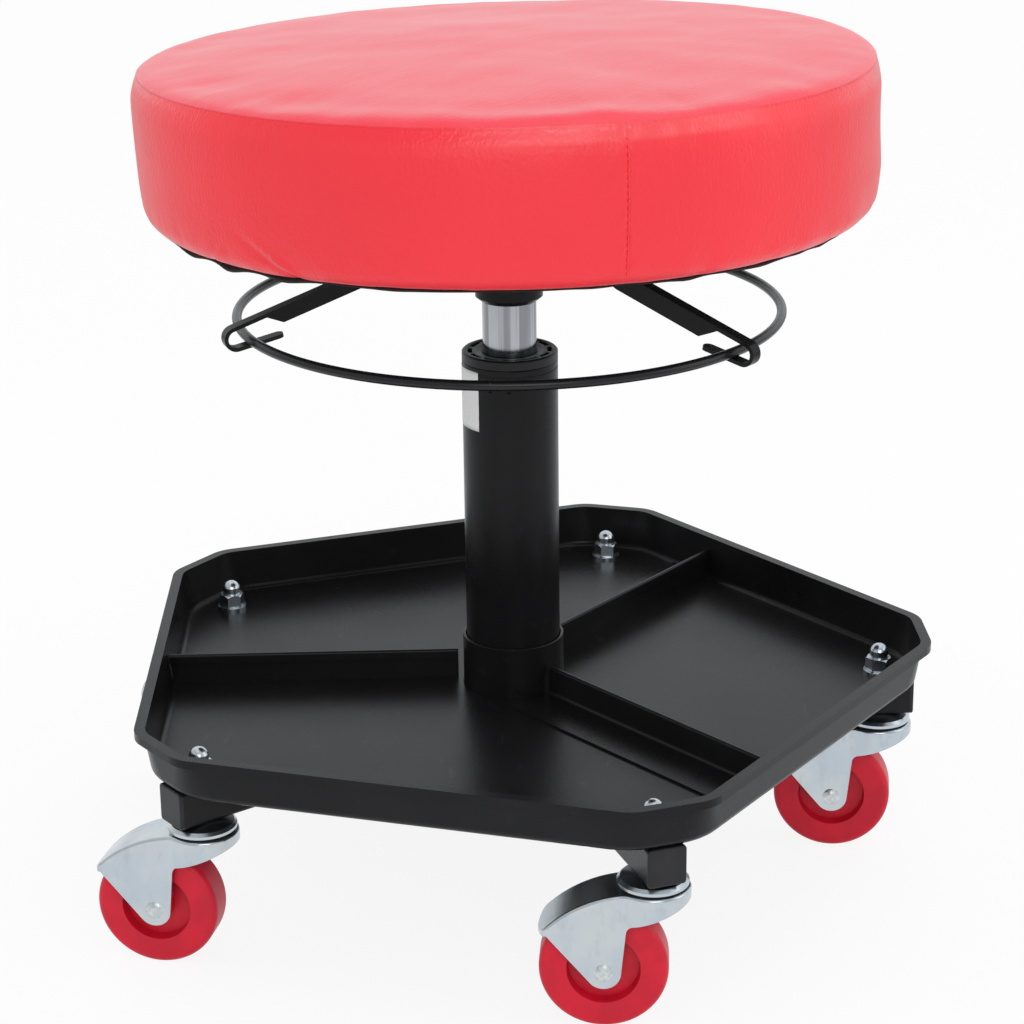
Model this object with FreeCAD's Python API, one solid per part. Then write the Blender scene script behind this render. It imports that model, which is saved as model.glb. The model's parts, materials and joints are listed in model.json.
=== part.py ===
import FreeCAD, Part
import math
import os

# Rolling work stool: padded seat on a gas lift, release ring, tool tray, five legs on casters.
# Millimetres, +Z up. The origin is on the column axis at floor level, and leg 1 points along +X.

# Counts and angles in degrees
leg_count = 5
full_turn = 360.0
leg_step = full_turn / leg_count
trail_angles = [171.0, 170.0, 188.0, 167.0, 175.0]
divider_left_angle = 180.0
divider_rear_angle = 51.0
divider_front_angle = -51.0
arm_count = 3
first_arm_angle = 80.0
side_seam_angle = 285.2

# Allowances
overrun = 6.0
running_play = 0.06
part_gap = 0.3
swing_gap = 1.0

# Wheel and its bush
wheel_radius = 31.5
wheel_width = 20.0
wheel_edge_radius = 3.5
wheel_recess_radius = 18.0
wheel_recess_depth = 5.5
wheel_recess_draft = 0.8
wheel_boss_radius = 8.0
wheel_bush_radius = 5.0
rivet_radius = 3.0
rivet_head_radius = 4.7
rivet_head_height = 1.7

# Caster fork, pressed from one sheet
caster_trail = 23.5
fork_sheet = 2.0
wheel_side_gap = 1.5
wheel_headroom = 8.5
dish_radius = 18.5
hood_overhang = 0.5
hood_flat_share = 0.27
nose_height = 19.0
nose_bulge = 3.0
nose_corner_radius = 4.0
nose_lip = 1.0
nose_undercut_run = 4.5
nose_undercut_rise = 1.2
neck_radius = 10.0
fork_edge_radius = 1.6
axle_end_radius = 8.5
plate_front = 12.4
plate_corner_radius = 5.5
skirt_depth = 17.0
skirt_nose_depth = 5.6

# Caster swivel: race disc, seal and kingpin
seal_height = 0.9
seal_width = 2.6
seal_inset = 1.6
race_radius = 17.5
race_rim = 1.5
race_height = 5.3
race_shoulder_radius = 9.0
kingpin_radius = 6.0
kingpin_head_radius = 9.0
kingpin_head_height = 2.6
kingpin_tail_height = 1.6
stem_radius = 4.0
stem_hole_play = 0.4

# Legs and end caps
leg_size = 20.0
leg_wall = 1.5
leg_corner_radius = 2.0
leg_reach = 214.0
stem_end_distance = 16.0
cap_face = 2.0
cap_plug_depth = 12.0
cap_plug_wall = 1.8

# Hub collar and column
hub_gap = 0.4
hub_wall = 1.6
hub_drop = 2.0
hub_stand = 28.2
column_radius = 25.0
column_wall = 1.6
column_length = 202.6
column_foot_inset = 0.8
column_foot_height = 34.0
column_rim_radius = 0.8
bead_depth = 0.3
bead_height = 1.2
bead_drop = 2.8
dimple_radius = 2.0
dimple_depth = 0.8
dimple_drop = 10.6
dimple_angles = [244.0, 267.0, 64.0, 87.0]

# Guide bush
bush_flange = 5.0
bush_depth = 60.0
bush_face_step = 1.4
bush_face_drop = 0.6
bush_slot_count = 12
bush_slot_edge = 3.1
bush_slot_width = 2.3
bush_slot_depth = 3.0
bush_slot_angle = 23.0
bush_lead_in = 0.8

# Column foot, thrust bearing and rod
foot_rise = 1.5
foot_plate = 3.0
bearing_radius = 11.0
bearing_washer = 1.0
bearing_ball = 3.0
bearing_balls = 10
rod_radius = 5.0
rod_tail_radius = 4.0
rod_tail_length = 3.5
rod_collar_radius = 9.0
rod_collar_height = 2.0
rod_stop_radius = 8.0
lift_stroke = 120.0
piston_stop_gap = 23.8
rod_groove_depth = 0.8
clip_sheet = 1.2
clip_radius = 8.0
clip_mouth = 5.0
piston_height = 9.0

# Gas cylinder and valve button
cylinder_radius = 14.0
cylinder_wall = 1.6
cylinder_exposed = 26.3
cylinder_foot_gap = 27.5
cylinder_gland = 18.0
cylinder_head = 14.0
cone_stand = 5.5
cone_inset = 0.6
button_radius = 3.5
button_stand = 4.5
button_depth = 12.0

# Seat mount: pressed cup and flange with a welded socket tube
socket_wall = 3.44
socket_length = 31.6
socket_bevel_share = 0.85
socket_bevel_up = 2.5
mount_headroom = 4.5
mount_sheet = 2.5
cup_radius = 48.0
cup_rise = 20.6
cup_bend_radius = 3.0
flange_margin = 18.0
flange_corner_radius = 12.0
arm_slot_width = 13.0
bolt_edge_distance = 13.0
bolt_radius = 4.0
bolt_head_across = 13.0
bolt_head_height = 5.3
tee_nut_radius = 9.0
tee_nut_sheet = 1.5
tee_barrel_radius = 5.0

# Release spider and ring
spider_hub_radius = 14.0
spider_sheet = 3.2
spider_clearance = 0.3
arm_slope_share = 0.32
arm_sheet = 2.0
arm_flange = 6.5
arm_web_height = 10.0
arm_root_height = 6.0
arm_taper_length = 23.0
arm_web_setback = 19.4
arm_cut_run = 10.4
arm_cut_height = 2.6
hook_radius = 5.3
hook_overhang = 6.5
hook_return_slope_share = 0.2
hook_return_length = 18.5
ring_radius = 140.0
ring_rod = 5.0
ring_rest_gap = 0.15

# Seat
board_thickness = 12.0
board_edge_radius = 3.0
cover_cloth = 1.0
cover_sheet = 1.3
seat_radius = 188.5
seat_board_inset = 14.5
seat_cloth_inset = 11.5
seat_foot_inset = 11.9
seat_heel_inset = 2.3
seat_heel_height = 9.5
seat_belly_share = 0.53
seat_seam_inset = 1.9
seat_side_height = 73.6
seam_depth = 1.1
seam_height = 2.2
seat_shoulder_inset = 9.0
seat_shoulder_height = 3.2
seat_crown_height = 5.2
side_seam_width_angle = 0.3

# Tool tray and dividers
tray_sheet = 1.2
tray_depth = 25.0
tray_corner_margin = 20.8
tray_clip_width = 38.4
tray_draft = 2.6
tray_rim_corner_radius = 16.0
tray_floor_corner_radius = 42.0
tray_floor_radius = 4.5
tray_lip = 4.3
tray_lip_drop = 4.2
divider_height = 16.6
divider_hub_gap = 2.8
divider_foot = 27.0
divider_bend_radius = 2.4
divider_left_offset = 6.0
divider_rear_offset = 4.0
divider_hem = 5.0
divider_hem_gap = 0.5

# Cap nuts and washers
washer_radius = 8.2
washer_sheet = 1.6
nut_across_flats = 12.6
nut_twist_angle = -8.0
nut_hex_height = 7.2
nut_neck_radius = 4.7
nut_neck_height = 1.6
nut_cap_radius = 5.0
nut_cap_height = 2.4
nut_dome_height = 3.8
nut_bore_depth = 11.0

# Heights that follow from the sizes
axle_z = wheel_radius
fork_top = axle_z + wheel_radius + wheel_headroom + fork_sheet
race_bottom = fork_top + seal_height + part_gap
leg_bottom = race_bottom + race_height
leg_top = leg_bottom + leg_size
leg_mid_z = leg_bottom + leg_size / 2
tray_floor_top = leg_top + tray_sheet
tray_rim_top = leg_top + tray_depth
hub_bottom = leg_bottom - hub_drop
hub_top = tray_floor_top + hub_stand
column_bottom = hub_bottom + foot_rise
column_top = column_bottom + column_length
bush_top = column_top + bush_flange
socket_bottom = bush_top + cylinder_exposed
socket_top = socket_bottom + socket_length
cylinder_top = socket_top + cone_stand
button_top = cylinder_top + button_stand
spider_bottom = button_top + spider_clearance
spider_top = spider_bottom + spider_sheet
mount_top = spider_top + mount_headroom
cup_bottom = socket_bottom + cup_rise
cloth_top = mount_top + cover_cloth
board_top = cloth_top + board_thickness
seam_z = cloth_top + seat_side_height + seam_height / 2
foot_top = column_bottom + foot_plate
bearing_bottom = foot_top
bearing_top = bearing_bottom + bearing_washer * 2 + bearing_ball
rod_bottom = column_bottom - rod_tail_length
cylinder_bottom = foot_top + cylinder_foot_gap
rod_top = cylinder_bottom + cylinder_gland + lift_stroke + piston_stop_gap

# Radii and reaches that follow from the sizes
caster_circle_radius = leg_reach - stem_end_distance
tray_corner_reach = caster_circle_radius + tray_corner_margin
tray_side_reach = (tray_corner_reach * math.cos(math.pi / leg_count)
                   + tray_clip_width / 2 * math.sin(math.pi / leg_count))
hub_radius = column_radius + hub_gap + hub_wall
divider_inner_radius = hub_radius + divider_hub_gap
bush_bore_radius = cylinder_radius + running_play
bush_slot_outer_radius = column_radius - bush_slot_edge
bush_slot_inner_radius = bush_slot_outer_radius - bush_slot_width
bush_face_radius = bush_slot_inner_radius - bush_face_step
socket_radius = cylinder_radius + running_play + socket_wall
flange_half = cup_radius + flange_margin
bolt_spacing = (flange_half - bolt_edge_distance) * 2
arm_web_reach = ring_radius - arm_web_setback
hook_return_reach = ring_radius - hook_return_length
board_radius = seat_radius - seat_board_inset
cover_cloth_radius = seat_radius - seat_cloth_inset
fork_half_inner = wheel_width / 2 + wheel_side_gap
fork_half_outer = fork_half_inner + fork_sheet

X = FreeCAD.Vector(1, 0, 0)
Y = FreeCAD.Vector(0, 1, 0)
Z = FreeCAD.Vector(0, 0, 1)
O = FreeCAD.Vector(0, 0, 0)


def vec(x, y, z):
    return FreeCAD.Vector(x, y, z)


def fuse(shapes):
    result = shapes[0]
    for shape in shapes[1:]:
        result = result.fuse(shape)
    return result.removeSplitter()


def cut(shape, tools):
    for tool in tools:
        shape = shape.cut(tool)
    return shape


def turned(shape, degrees, axis=Z, centre=O):
    copy = shape.copy()
    copy.rotate(centre, axis, degrees)
    return copy


def moved(shape, x, y, z):
    copy = shape.copy()
    copy.translate(vec(x, y, z))
    return copy


def rod(radius, z0, z1, x=0.0, y=0.0):
    return Part.makeCylinder(radius, z1 - z0, vec(x, y, z0))


def tube(outer, inner, z0, z1):
    return rod(outer, z0, z1).cut(rod(inner, z0 - overrun, z1 + overrun))


def block(x0, x1, y0, y1, z0, z1):
    return Part.makeBox(x1 - x0, y1 - y0, z1 - z0, vec(x0, y0, z0))


def solid_from(edges, plane_move):
    return Part.Face(Part.Wire(edges)).extrude(plane_move)


def spun(edges, degrees=full_turn):
    """Turns a closed outline in the XZ plane about the Z axis."""
    return Part.Face(Part.Wire(edges)).revolve(O, Z, degrees)


def line(a, b):
    return Part.LineSegment(a, b).toShape()


def arc(a, b, c):
    return Part.Arc(a, b, c).toShape()


def dome_arc(radius, foot_z, top_z):
    """Arc from a radius up to the axis, with its centre on the axis."""
    rise = top_z - foot_z
    bend = (radius * radius + rise * rise) / (2 * rise)
    angle = math.asin(radius / bend) / 2
    return arc(vec(radius, 0, foot_z), vec(bend * math.sin(angle), 0, top_z - bend * (1 - math.cos(angle))),
               vec(0, 0, top_z))


def spun_points(points):
    corners = [vec(r, 0, z) for r, z in points]
    corners.append(corners[0])
    return spun([line(a, b) for a, b in zip(corners, corners[1:])])


def rounded_outline(points, place):
    """Closed outline through (u, v, corner radius) points, as lines and tangent arcs."""
    count = len(points)
    starts = []
    ends = []
    arcs = []
    for i in range(count):
        u, v, radius = points[i]
        pu, pv, _ = points[i - 1]
        nu, nv, _ = points[(i + 1) % count]
        here = vec(u, v, 0)
        back = vec(pu - u, pv - v, 0).normalize()
        ahead = vec(nu - u, nv - v, 0).normalize()
        if radius > 0:
            half = back.getAngle(ahead) / 2
            run = radius / math.tan(half)
            inward = (back + ahead).normalize()
            centre = here + inward * (radius / math.sin(half))
            starts.append(here + back * run)
            ends.append(here + ahead * run)
            arcs.append(centre - inward * radius)
        else:
            starts.append(here)
            ends.append(here)
            arcs.append(None)
    edges = []
    for i in range(count):
        if arcs[i] is not None:
            edges.append(arc(place(starts[i]), place(arcs[i]), place(ends[i])))
        after = (i + 1) % count
        if (starts[after] - ends[i]).Length > running_play / leg_count:
            edges.append(line(place(ends[i]), place(starts[after])))
    return edges


def flat(z):
    return lambda p: vec(p.x, p.y, z)


def upright(y):
    return lambda p: vec(p.x, y, p.y)


def hexagon(across, z0, z1, x=0.0, y=0.0):
    corner = across / 2 / math.cos(math.pi / 6)
    points = [(x + corner * math.cos(k * math.pi / 3), y + corner * math.sin(k * math.pi / 3), 0) for k in range(6)]
    return solid_from(rounded_outline(points, flat(z0)), vec(0, 0, z1 - z0))


def leg_angle(k):
    return k * leg_step


def around_legs(shape):
    return Part.Compound([turned(shape, leg_angle(k)) for k in range(leg_count)])


def save(name, shape):
    shape.exportStep("parts/" + name + ".step")
    print(name, shape.ShapeType, len(shape.Solids), round(shape.Volume), shape.isValid())


# Wheel, lying on its side about Z, then stood up on the caster's own axle

def wheel_blank():
    half = wheel_width / 2
    disc = rod(wheel_radius, -half, half)
    rims = [e for e in disc.Edges if len(e.Vertexes) == 1]
    disc = disc.makeFillet(wheel_edge_radius, rims)
    recess = spun_points([
        (0, half - wheel_recess_depth),
        (wheel_recess_radius - wheel_recess_draft, half - wheel_recess_depth),
        (wheel_recess_radius, half),
        (wheel_recess_radius, half + overrun),
        (0, half + overrun)])
    disc = cut(disc, [recess, turned(recess, full_turn / 2, X)])
    boss = rod(wheel_boss_radius, -half - part_gap, half + part_gap)
    disc = fuse([disc, boss])
    bore = rod(wheel_bush_radius + running_play, -half - overrun, half + overrun)
    return disc.cut(bore)


def stood(shape):
    """Stands a shape made about Z up on the axle, across the fork."""
    return moved(turned(shape, full_turn / 4, X), caster_trail, 0, axle_z)


def wheel():
    return stood(wheel_blank())


def wheel_bush():
    return stood(tube(wheel_bush_radius, rivet_radius + running_play, -fork_half_inner, fork_half_inner))


def axle_rivet():
    shank = rod(rivet_radius, -fork_half_outer, fork_half_outer)
    head = spun([
        line(vec(0, 0, fork_half_outer), vec(rivet_head_radius, 0, fork_half_outer)),
        dome_arc(rivet_head_radius, fork_half_outer, fork_half_outer + rivet_head_height),
        line(vec(0, 0, fork_half_outer + rivet_head_height), vec(0, 0, fork_half_outer))])
    return stood(fuse([shank, head, turned(head, full_turn / 2, X)]))


# Caster fork: hood, side plates and dish are one skin, the overlap of a side view and a plan view

hood_reach = caster_trail + wheel_radius + hood_overhang
nose_z = axle_z + nose_height
hood_flat_end = caster_trail * hood_flat_share


def crest_arc(inset):
    """The hood's curve in side view, level where it leaves the dish."""
    drop = fork_top - nose_z
    run = hood_reach - hood_flat_end
    bend = (run * run + drop * drop) / (2 * drop)
    reach_angle = math.asin(run / bend)
    inner = bend - inset
    centre_z = fork_top - bend

    def at(angle):
        return vec(hood_flat_end + inner * math.sin(angle), 0, centre_z + inner * math.cos(angle))

    return at(0), at(reach_angle / 2), at(reach_angle)


def plan_outline(inset):
    """Round dish, necked in to parallel sides, with a bowed nose."""
    dish = dish_radius - inset
    half = fork_half_outer - inset
    neck = neck_radius + inset
    neck_s = math.sqrt((dish + neck) ** 2 - (half + neck) ** 2)
    share = dish / (dish + neck)
    on_dish_s = neck_s * share
    on_dish_t = (half + neck) * share
    centre_angle = math.atan2(half + neck, neck_s)
    mid_angle = (centre_angle + math.pi * 5 / 2) / 2
    neck_mid_s = neck_s + neck * math.cos(mid_angle)
    neck_mid_t = half + neck + neck * math.sin(mid_angle)
    nose = hood_reach - inset
    corner = nose - nose_bulge
    p = {
        "nose": vec(nose, 0, 0),
        "corner": vec(corner, half, 0),
        "side": vec(neck_s, half, 0),
        "mid": vec(neck_mid_s, neck_mid_t, 0),
        "dish": vec(on_dish_s, on_dish_t, 0),
        "back": vec(-dish, 0, 0)}
    m = {key: vec(value.x, -value.y, 0) for key, value in p.items()}
    return [
        arc(m["corner"], p["nose"], p["corner"]),
        line(p["corner"], p["side"]),
        arc(p["side"], p["mid"], p["dish"]),
        arc(p["dish"], p["back"], m["dish"]),
        arc(m["dish"], m["mid"], m["side"]),
        line(m["side"], m["corner"])]


def plan_form(inset, z0, z1):
    form = moved(solid_from(plan_outline(inset), vec(0, 0, z1 - z0)), 0, 0, z0)
    corner_s = hood_reach - inset - nose_bulge
    corners = [e for e in form.Edges if e.BoundBox.ZLength > (z1 - z0) / 2 and abs(e.BoundBox.XMin - corner_s) < running_play]
    return form.makeFillet(nose_corner_radius - inset, corners)


def tangent_meet(centre_s, centre_z, radius, back_point, front_point):
    """Where the two straight plate edges meet that touch the rounded axle end."""
    directions = []
    for point, side in ((back_point, 1), (front_point, -1)):
        ds = centre_s - point[0]
        dz = centre_z - point[1]
        lean = math.asin(radius / math.hypot(ds, dz)) * side
        angle = math.atan2(dz, ds) + lean
        directions.append((math.cos(angle), math.sin(angle)))
    (ax, az), (bx, bz) = directions
    ps = front_point[0] - back_point[0]
    pz = front_point[1] - back_point[1]
    run = (ps * bz - pz * bx) / (ax * bz - az * bx)
    return back_point[0] + ax * run, back_point[1] + az * run


def fork_skin():
    a, b, c = crest_arc(0)
    back_point = (c.x - nose_undercut_run, c.z - nose_lip + nose_undercut_rise)
    skirt_in = (plate_front, fork_top - skirt_depth)
    tip_s, tip_z = tangent_meet(caster_trail, axle_z, axle_end_radius, back_point, skirt_in)
    skirt_out = (-dish_radius - overrun, fork_top - skirt_nose_depth + overrun * (skirt_depth - skirt_nose_depth)
                 / (dish_radius + plate_front))
    lower = rounded_outline([
        (back_point[0], back_point[1], 0),
        (tip_s, tip_z, axle_end_radius),
        (skirt_in[0], skirt_in[1], plate_corner_radius),
        (skirt_out[0], skirt_out[1], 0)], upright(-fork_half_outer - dish_radius))
    wide = vec(0, 2 * (fork_half_outer + dish_radius), 0)
    y0 = -fork_half_outer - dish_radius
    # the closing edge of the rounded outline is replaced by the nose, the crest and the flat top
    kept = lower[:-1]
    side_edges = kept + [
        line(vec(skirt_out[0], y0, skirt_out[1]), vec(skirt_out[0], y0, fork_top)),
        line(vec(skirt_out[0], y0, fork_top), vec(a.x, y0, a.z)),
        arc(vec(a.x, y0, a.z), vec(b.x, y0, b.z), vec(c.x, y0, c.z)),
        line(vec(c.x, y0, c.z), vec(c.x, y0, c.z - nose_lip)),
        line(vec(c.x, y0, c.z - nose_lip), vec(back_point[0], y0, back_point[1]))]
    side = solid_from(side_edges, wide)
    outer = side.common(plan_form(0, 0, fork_top + overrun)).removeSplitter()
    outer = outer.makeFillet(fork_edge_radius, crest_edges(outer))
    ia, ib, ic = crest_arc(fork_sheet)
    inner_edges = [
        line(vec(-dish_radius - overrun, y0, -overrun), vec(-dish_radius - overrun, y0, ia.z)),
        line(vec(-dish_radius - overrun, y0, ia.z), vec(ia.x, y0, ia.z)),
        arc(vec(ia.x, y0, ia.z), vec(ib.x, y0, ib.z), vec(ic.x, y0, ic.z)),
        line(vec(ic.x, y0, ic.z), vec(hood_reach + overrun, y0, ic.z - overrun)),
        line(vec(hood_reach + overrun, y0, ic.z - overrun), vec(hood_reach + overrun, y0, -overrun)),
        line(vec(hood_reach + overrun, y0, -overrun), vec(-dish_radius - overrun, y0, -overrun))]
    core = solid_from(inner_edges, wide).common(plan_form(fork_sheet, -overrun, fork_top + overrun))
    return outer.cut(core)


def crest_edges(solid):
    """The outer rim of the hood: edges between an upward face and an upright face."""
    picked = []
    for edge in solid.Edges:
        faces = solid.ancestorsOfType(edge, Part.Face)
        ups = [is_upward(face) for face in faces]
        middle = edge.valueAt((edge.FirstParameter + edge.LastParameter) / 2)
        if len(faces) == 2 and ups[0] != ups[1] and middle.z > nose_z - fork_sheet / 2:
            picked.append(edge)
    return picked


def is_upward(face):
    u0, u1, v0, v1 = face.ParameterRange
    return face.normalAt((u0 + u1) / 2, (v0 + v1) / 2).z > math.cos(math.pi / 3)


def caster_fork():
    skin = fork_skin()
    king_hole = rod(kingpin_radius + part_gap, fork_top - fork_sheet - overrun, fork_top + overrun)
    axle_hole = stood(rod(rivet_radius, -fork_half_outer - overrun, fork_half_outer + overrun))
    return cut(skin, [king_hole, axle_hole])


def race_seal():
    outer = race_radius - seal_inset
    return tube(outer, outer - seal_width, fork_top, fork_top + seal_height)


def caster_stem():
    head_top = fork_top - fork_sheet - part_gap
    head_bottom = head_top - kingpin_head_height
    tail_bottom = head_bottom - kingpin_tail_height
    stem_end = tray_floor_top + washer_sheet + nut_bore_depth - swing_gap
    return spun_points([
        (0, tail_bottom),
        (kingpin_radius - kingpin_tail_height / 2, tail_bottom),
        (kingpin_radius, head_bottom),
        (kingpin_head_radius, head_bottom),
        (kingpin_head_radius, head_top),
        (kingpin_radius, head_top),
        (kingpin_radius, race_bottom + race_rim),
        (race_radius - race_rim * 2, race_bottom),
        (race_radius, race_bottom),
        (race_radius, race_bottom + race_rim),
        (race_radius - race_rim, race_bottom + race_rim * 2),
        (race_shoulder_radius, leg_bottom),
        (stem_radius, leg_bottom),
        (stem_radius, stem_end - stem_radius / 4),
        (stem_radius - stem_radius / 4, stem_end),
        (0, stem_end)])


def on_caster(shape, k):
    """Turns a caster piece to its trail angle and sets it under its leg."""
    along = math.radians(leg_angle(k))
    x = caster_circle_radius * math.cos(along)
    y = caster_circle_radius * math.sin(along)
    return moved(turned(shape, trail_angles[k]), x, y, 0)


# Base: legs, end caps, hub, tray, dividers, nuts

def square_bar(size, corner, x0, x1, z_mid):
    h = size / 2
    outline = rounded_outline([(-h, z_mid - h, corner), (h, z_mid - h, corner),
                               (h, z_mid + h, corner), (-h, z_mid + h, corner)],
                              lambda p: vec(x0, p.x, p.y))
    return solid_from(outline, vec(x1 - x0, 0, 0))


def leg():
    outer = square_bar(leg_size, leg_corner_radius, 0, leg_reach, leg_mid_z)
    inner = square_bar(leg_size - 2 * leg_wall, leg_corner_radius - leg_wall / 2, -overrun, leg_reach + overrun,
                       leg_mid_z)
    hub = rod(hub_radius, leg_bottom - overrun, leg_top + overrun)
    stem_hole = rod(stem_radius + stem_hole_play, leg_bottom - overrun, leg_top + overrun, caster_circle_radius)
    return cut(outer, [inner, hub, stem_hole])


def end_cap():
    face = square_bar(leg_size, leg_corner_radius, leg_reach, leg_reach + cap_face, leg_mid_z)
    front = [e for e in face.Edges if e.BoundBox.XMin > leg_reach + cap_face / 2]
    face = face.makeFillet(cap_face / 2, front)
    plug_size = leg_size - 2 * leg_wall - part_gap
    plug = square_bar(plug_size, leg_corner_radius - leg_wall / 2, leg_reach - cap_plug_depth, leg_reach, leg_mid_z)
    hollow = square_bar(plug_size - 2 * cap_plug_wall, 0, leg_reach - cap_plug_depth - overrun, leg_reach,
                        leg_mid_z)
    stem_clear = rod(stem_radius + swing_gap, leg_bottom, leg_top, caster_circle_radius)
    return cut(fuse([face, plug]), [hollow, stem_clear])


def cone_tube(outer_top, outer_foot, inner_top, inner_foot, z0, z_taper, z1):
    return spun_points([(outer_foot, z0), (outer_top, z_taper), (outer_top, z1),
                        (inner_top, z1), (inner_top, z_taper), (inner_foot, z0)])


def hub_collar():
    bore = hub_radius - hub_wall
    taper_top = hub_bottom + column_foot_height
    body = spun_points([(hub_radius, hub_bottom), (hub_radius, hub_top), (bore, hub_top), (bore, taper_top),
                        (column_radius + running_play, taper_top),
                        (column_radius + running_play - column_foot_inset, hub_bottom)])
    rim = [e for e in body.Edges if e.BoundBox.ZMin > hub_top - hub_wall / 8]
    return body.makeFillet(hub_wall / 4, rim)


def column_tube():
    taper_top = hub_bottom + column_foot_height
    foot_radius = column_radius - column_foot_inset * (taper_top - column_bottom) / column_foot_height
    body = cone_tube(column_radius, foot_radius, column_radius - column_wall, foot_radius - column_wall,
                     column_bottom, taper_top, column_top)
    rim = [e for e in body.Edges
           if e.BoundBox.ZMin > column_top - column_wall / 8 and e.BoundBox.XMax > column_radius - column_wall / 2]
    body = body.makeFillet(column_rim_radius, rim)
    bead_z = column_top - bead_drop
    bead = tube(column_radius + overrun, column_radius - bead_depth, bead_z - bead_height, bead_z)
    dimples = []
    for angle in dimple_angles:
        centre_radius = column_radius - dimple_depth + dimple_radius
        ball = Part.makeSphere(dimple_radius, vec(centre_radius, 0, column_top - dimple_drop))
        dimples.append(turned(ball, angle))
    return cut(body, [bead] + dimples)


def column_foot():
    taper_top = hub_bottom + column_foot_height
    foot_radius = column_radius - column_foot_inset * (taper_top - column_bottom) / column_foot_height
    return tube(foot_radius - column_wall - running_play, rod_tail_radius + part_gap, column_bottom, foot_top)


def guide_bush():
    sleeve = column_radius - column_wall - running_play
    body = spun_points([
        (bush_bore_radius, column_top - bush_depth),
        (sleeve, column_top - bush_depth),
        (sleeve, column_top),
        (column_radius, column_top),
        (column_radius, bush_top - bush_lead_in),
        (column_radius - bush_lead_in, bush_top),
        (bush_slot_outer_radius + bush_lead_in, bush_top),
        (bush_slot_outer_radius + bush_lead_in / 2, bush_top - bush_face_drop),
        (bush_face_radius, bush_top - bush_face_drop),
        (bush_bore_radius + bush_lead_in, bush_top - bush_face_drop * 2),
        (bush_bore_radius, bush_top - bush_face_drop * 2 - bush_lead_in)])
    slots = []
    for i in range(bush_slot_count):
        ring = Part.Face(Part.Wire([
            line(vec(bush_slot_inner_radius, 0, bush_top - bush_slot_depth),
                 vec(bush_slot_outer_radius, 0, bush_top - bush_slot_depth)),
            line(vec(bush_slot_outer_radius, 0, bush_top - bush_slot_depth),
                 vec(bush_slot_outer_radius, 0, bush_top + overrun)),
            line(vec(bush_slot_outer_radius, 0, bush_top + overrun),
                 vec(bush_slot_inner_radius, 0, bush_top + overrun)),
            line(vec(bush_slot_inner_radius, 0, bush_top + overrun),
                 vec(bush_slot_inner_radius, 0, bush_top - bush_slot_depth))]))
        slot = ring.revolve(O, Z, bush_slot_angle)
        slots.append(turned(slot, i * full_turn / bush_slot_count - bush_slot_angle / 2))
    return cut(body, slots)


def tray_points(side_reach, corner_reach, corner_radius):
    """A pentagon with clipped corners: sides at side_reach, clips at corner_reach from the axis."""
    half = math.radians(leg_step / 2)
    side_run = (side_reach / math.cos(half) - corner_reach) / math.tan(half)
    points = []
    for k in range(leg_count):
        for sign in (-1, 1):
            turn = math.radians(leg_angle(k))
            points.append((corner_reach * math.cos(turn) - sign * side_run * math.sin(turn),
                           corner_reach * math.sin(turn) + sign * side_run * math.cos(turn), corner_radius))
    return points


def tray_level(inset, corner_radius, z):
    points = tray_points(tray_side_reach - inset, tray_corner_reach - inset, corner_radius)
    return Part.Wire(rounded_outline(points, flat(z)))


def tray_form(inset, floor_z, top_z):
    """Solid of the tray's bowl, drawn in from the rim to a rounder floor."""
    share = (leg_top + tray_depth - top_z) / tray_depth
    top_corner = tray_rim_corner_radius + (tray_floor_corner_radius - tray_rim_corner_radius) * share
    low = tray_level(inset + tray_draft, tray_floor_corner_radius, floor_z)
    high = tray_level(inset + tray_draft * share, top_corner, top_z)
    return Part.makeLoft([low, high], True, True)


def tray_lip_band(outer_inset, inner_inset, z0, z1):
    outer = Part.Face(tray_level(outer_inset, tray_rim_corner_radius - outer_inset, z0))
    inner = Part.Face(tray_level(inner_inset, tray_rim_corner_radius, z0))
    return outer.cut(inner).extrude(vec(0, 0, z1 - z0))


def floor_edges(solid, z):
    return [e for e in solid.Edges if abs(e.BoundBox.ZMin - z) < tray_sheet / 4 and e.BoundBox.ZLength < tray_sheet / 4]


def tray():
    outer = tray_form(0, leg_top, tray_rim_top)
    outer = outer.makeFillet(tray_floor_radius, floor_edges(outer, leg_top))
    inner = tray_form(tray_sheet, tray_floor_top, tray_rim_top)
    inner = inner.makeFillet(tray_floor_radius - tray_sheet, floor_edges(inner, tray_floor_top))
    shell = outer.cut(inner)
    lip = tray_lip_band(-tray_lip, tray_sheet / 2, tray_rim_top - tray_sheet, tray_rim_top)
    hem = tray_lip_band(-tray_lip, tray_sheet - tray_lip, tray_rim_top - tray_lip_drop, tray_rim_top)
    rim = fuse([lip, hem])
    body = fuse([shell, rim])
    hub_hole = rod(hub_radius + part_gap, leg_top - overrun, tray_floor_top + overrun)
    stem_hole = rod(stem_radius + stem_hole_play, leg_top - overrun, tray_floor_top + overrun, caster_circle_radius)
    return cut(body, [hub_hole] + [turned(stem_hole, leg_angle(k)) for k in range(leg_count)])


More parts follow.
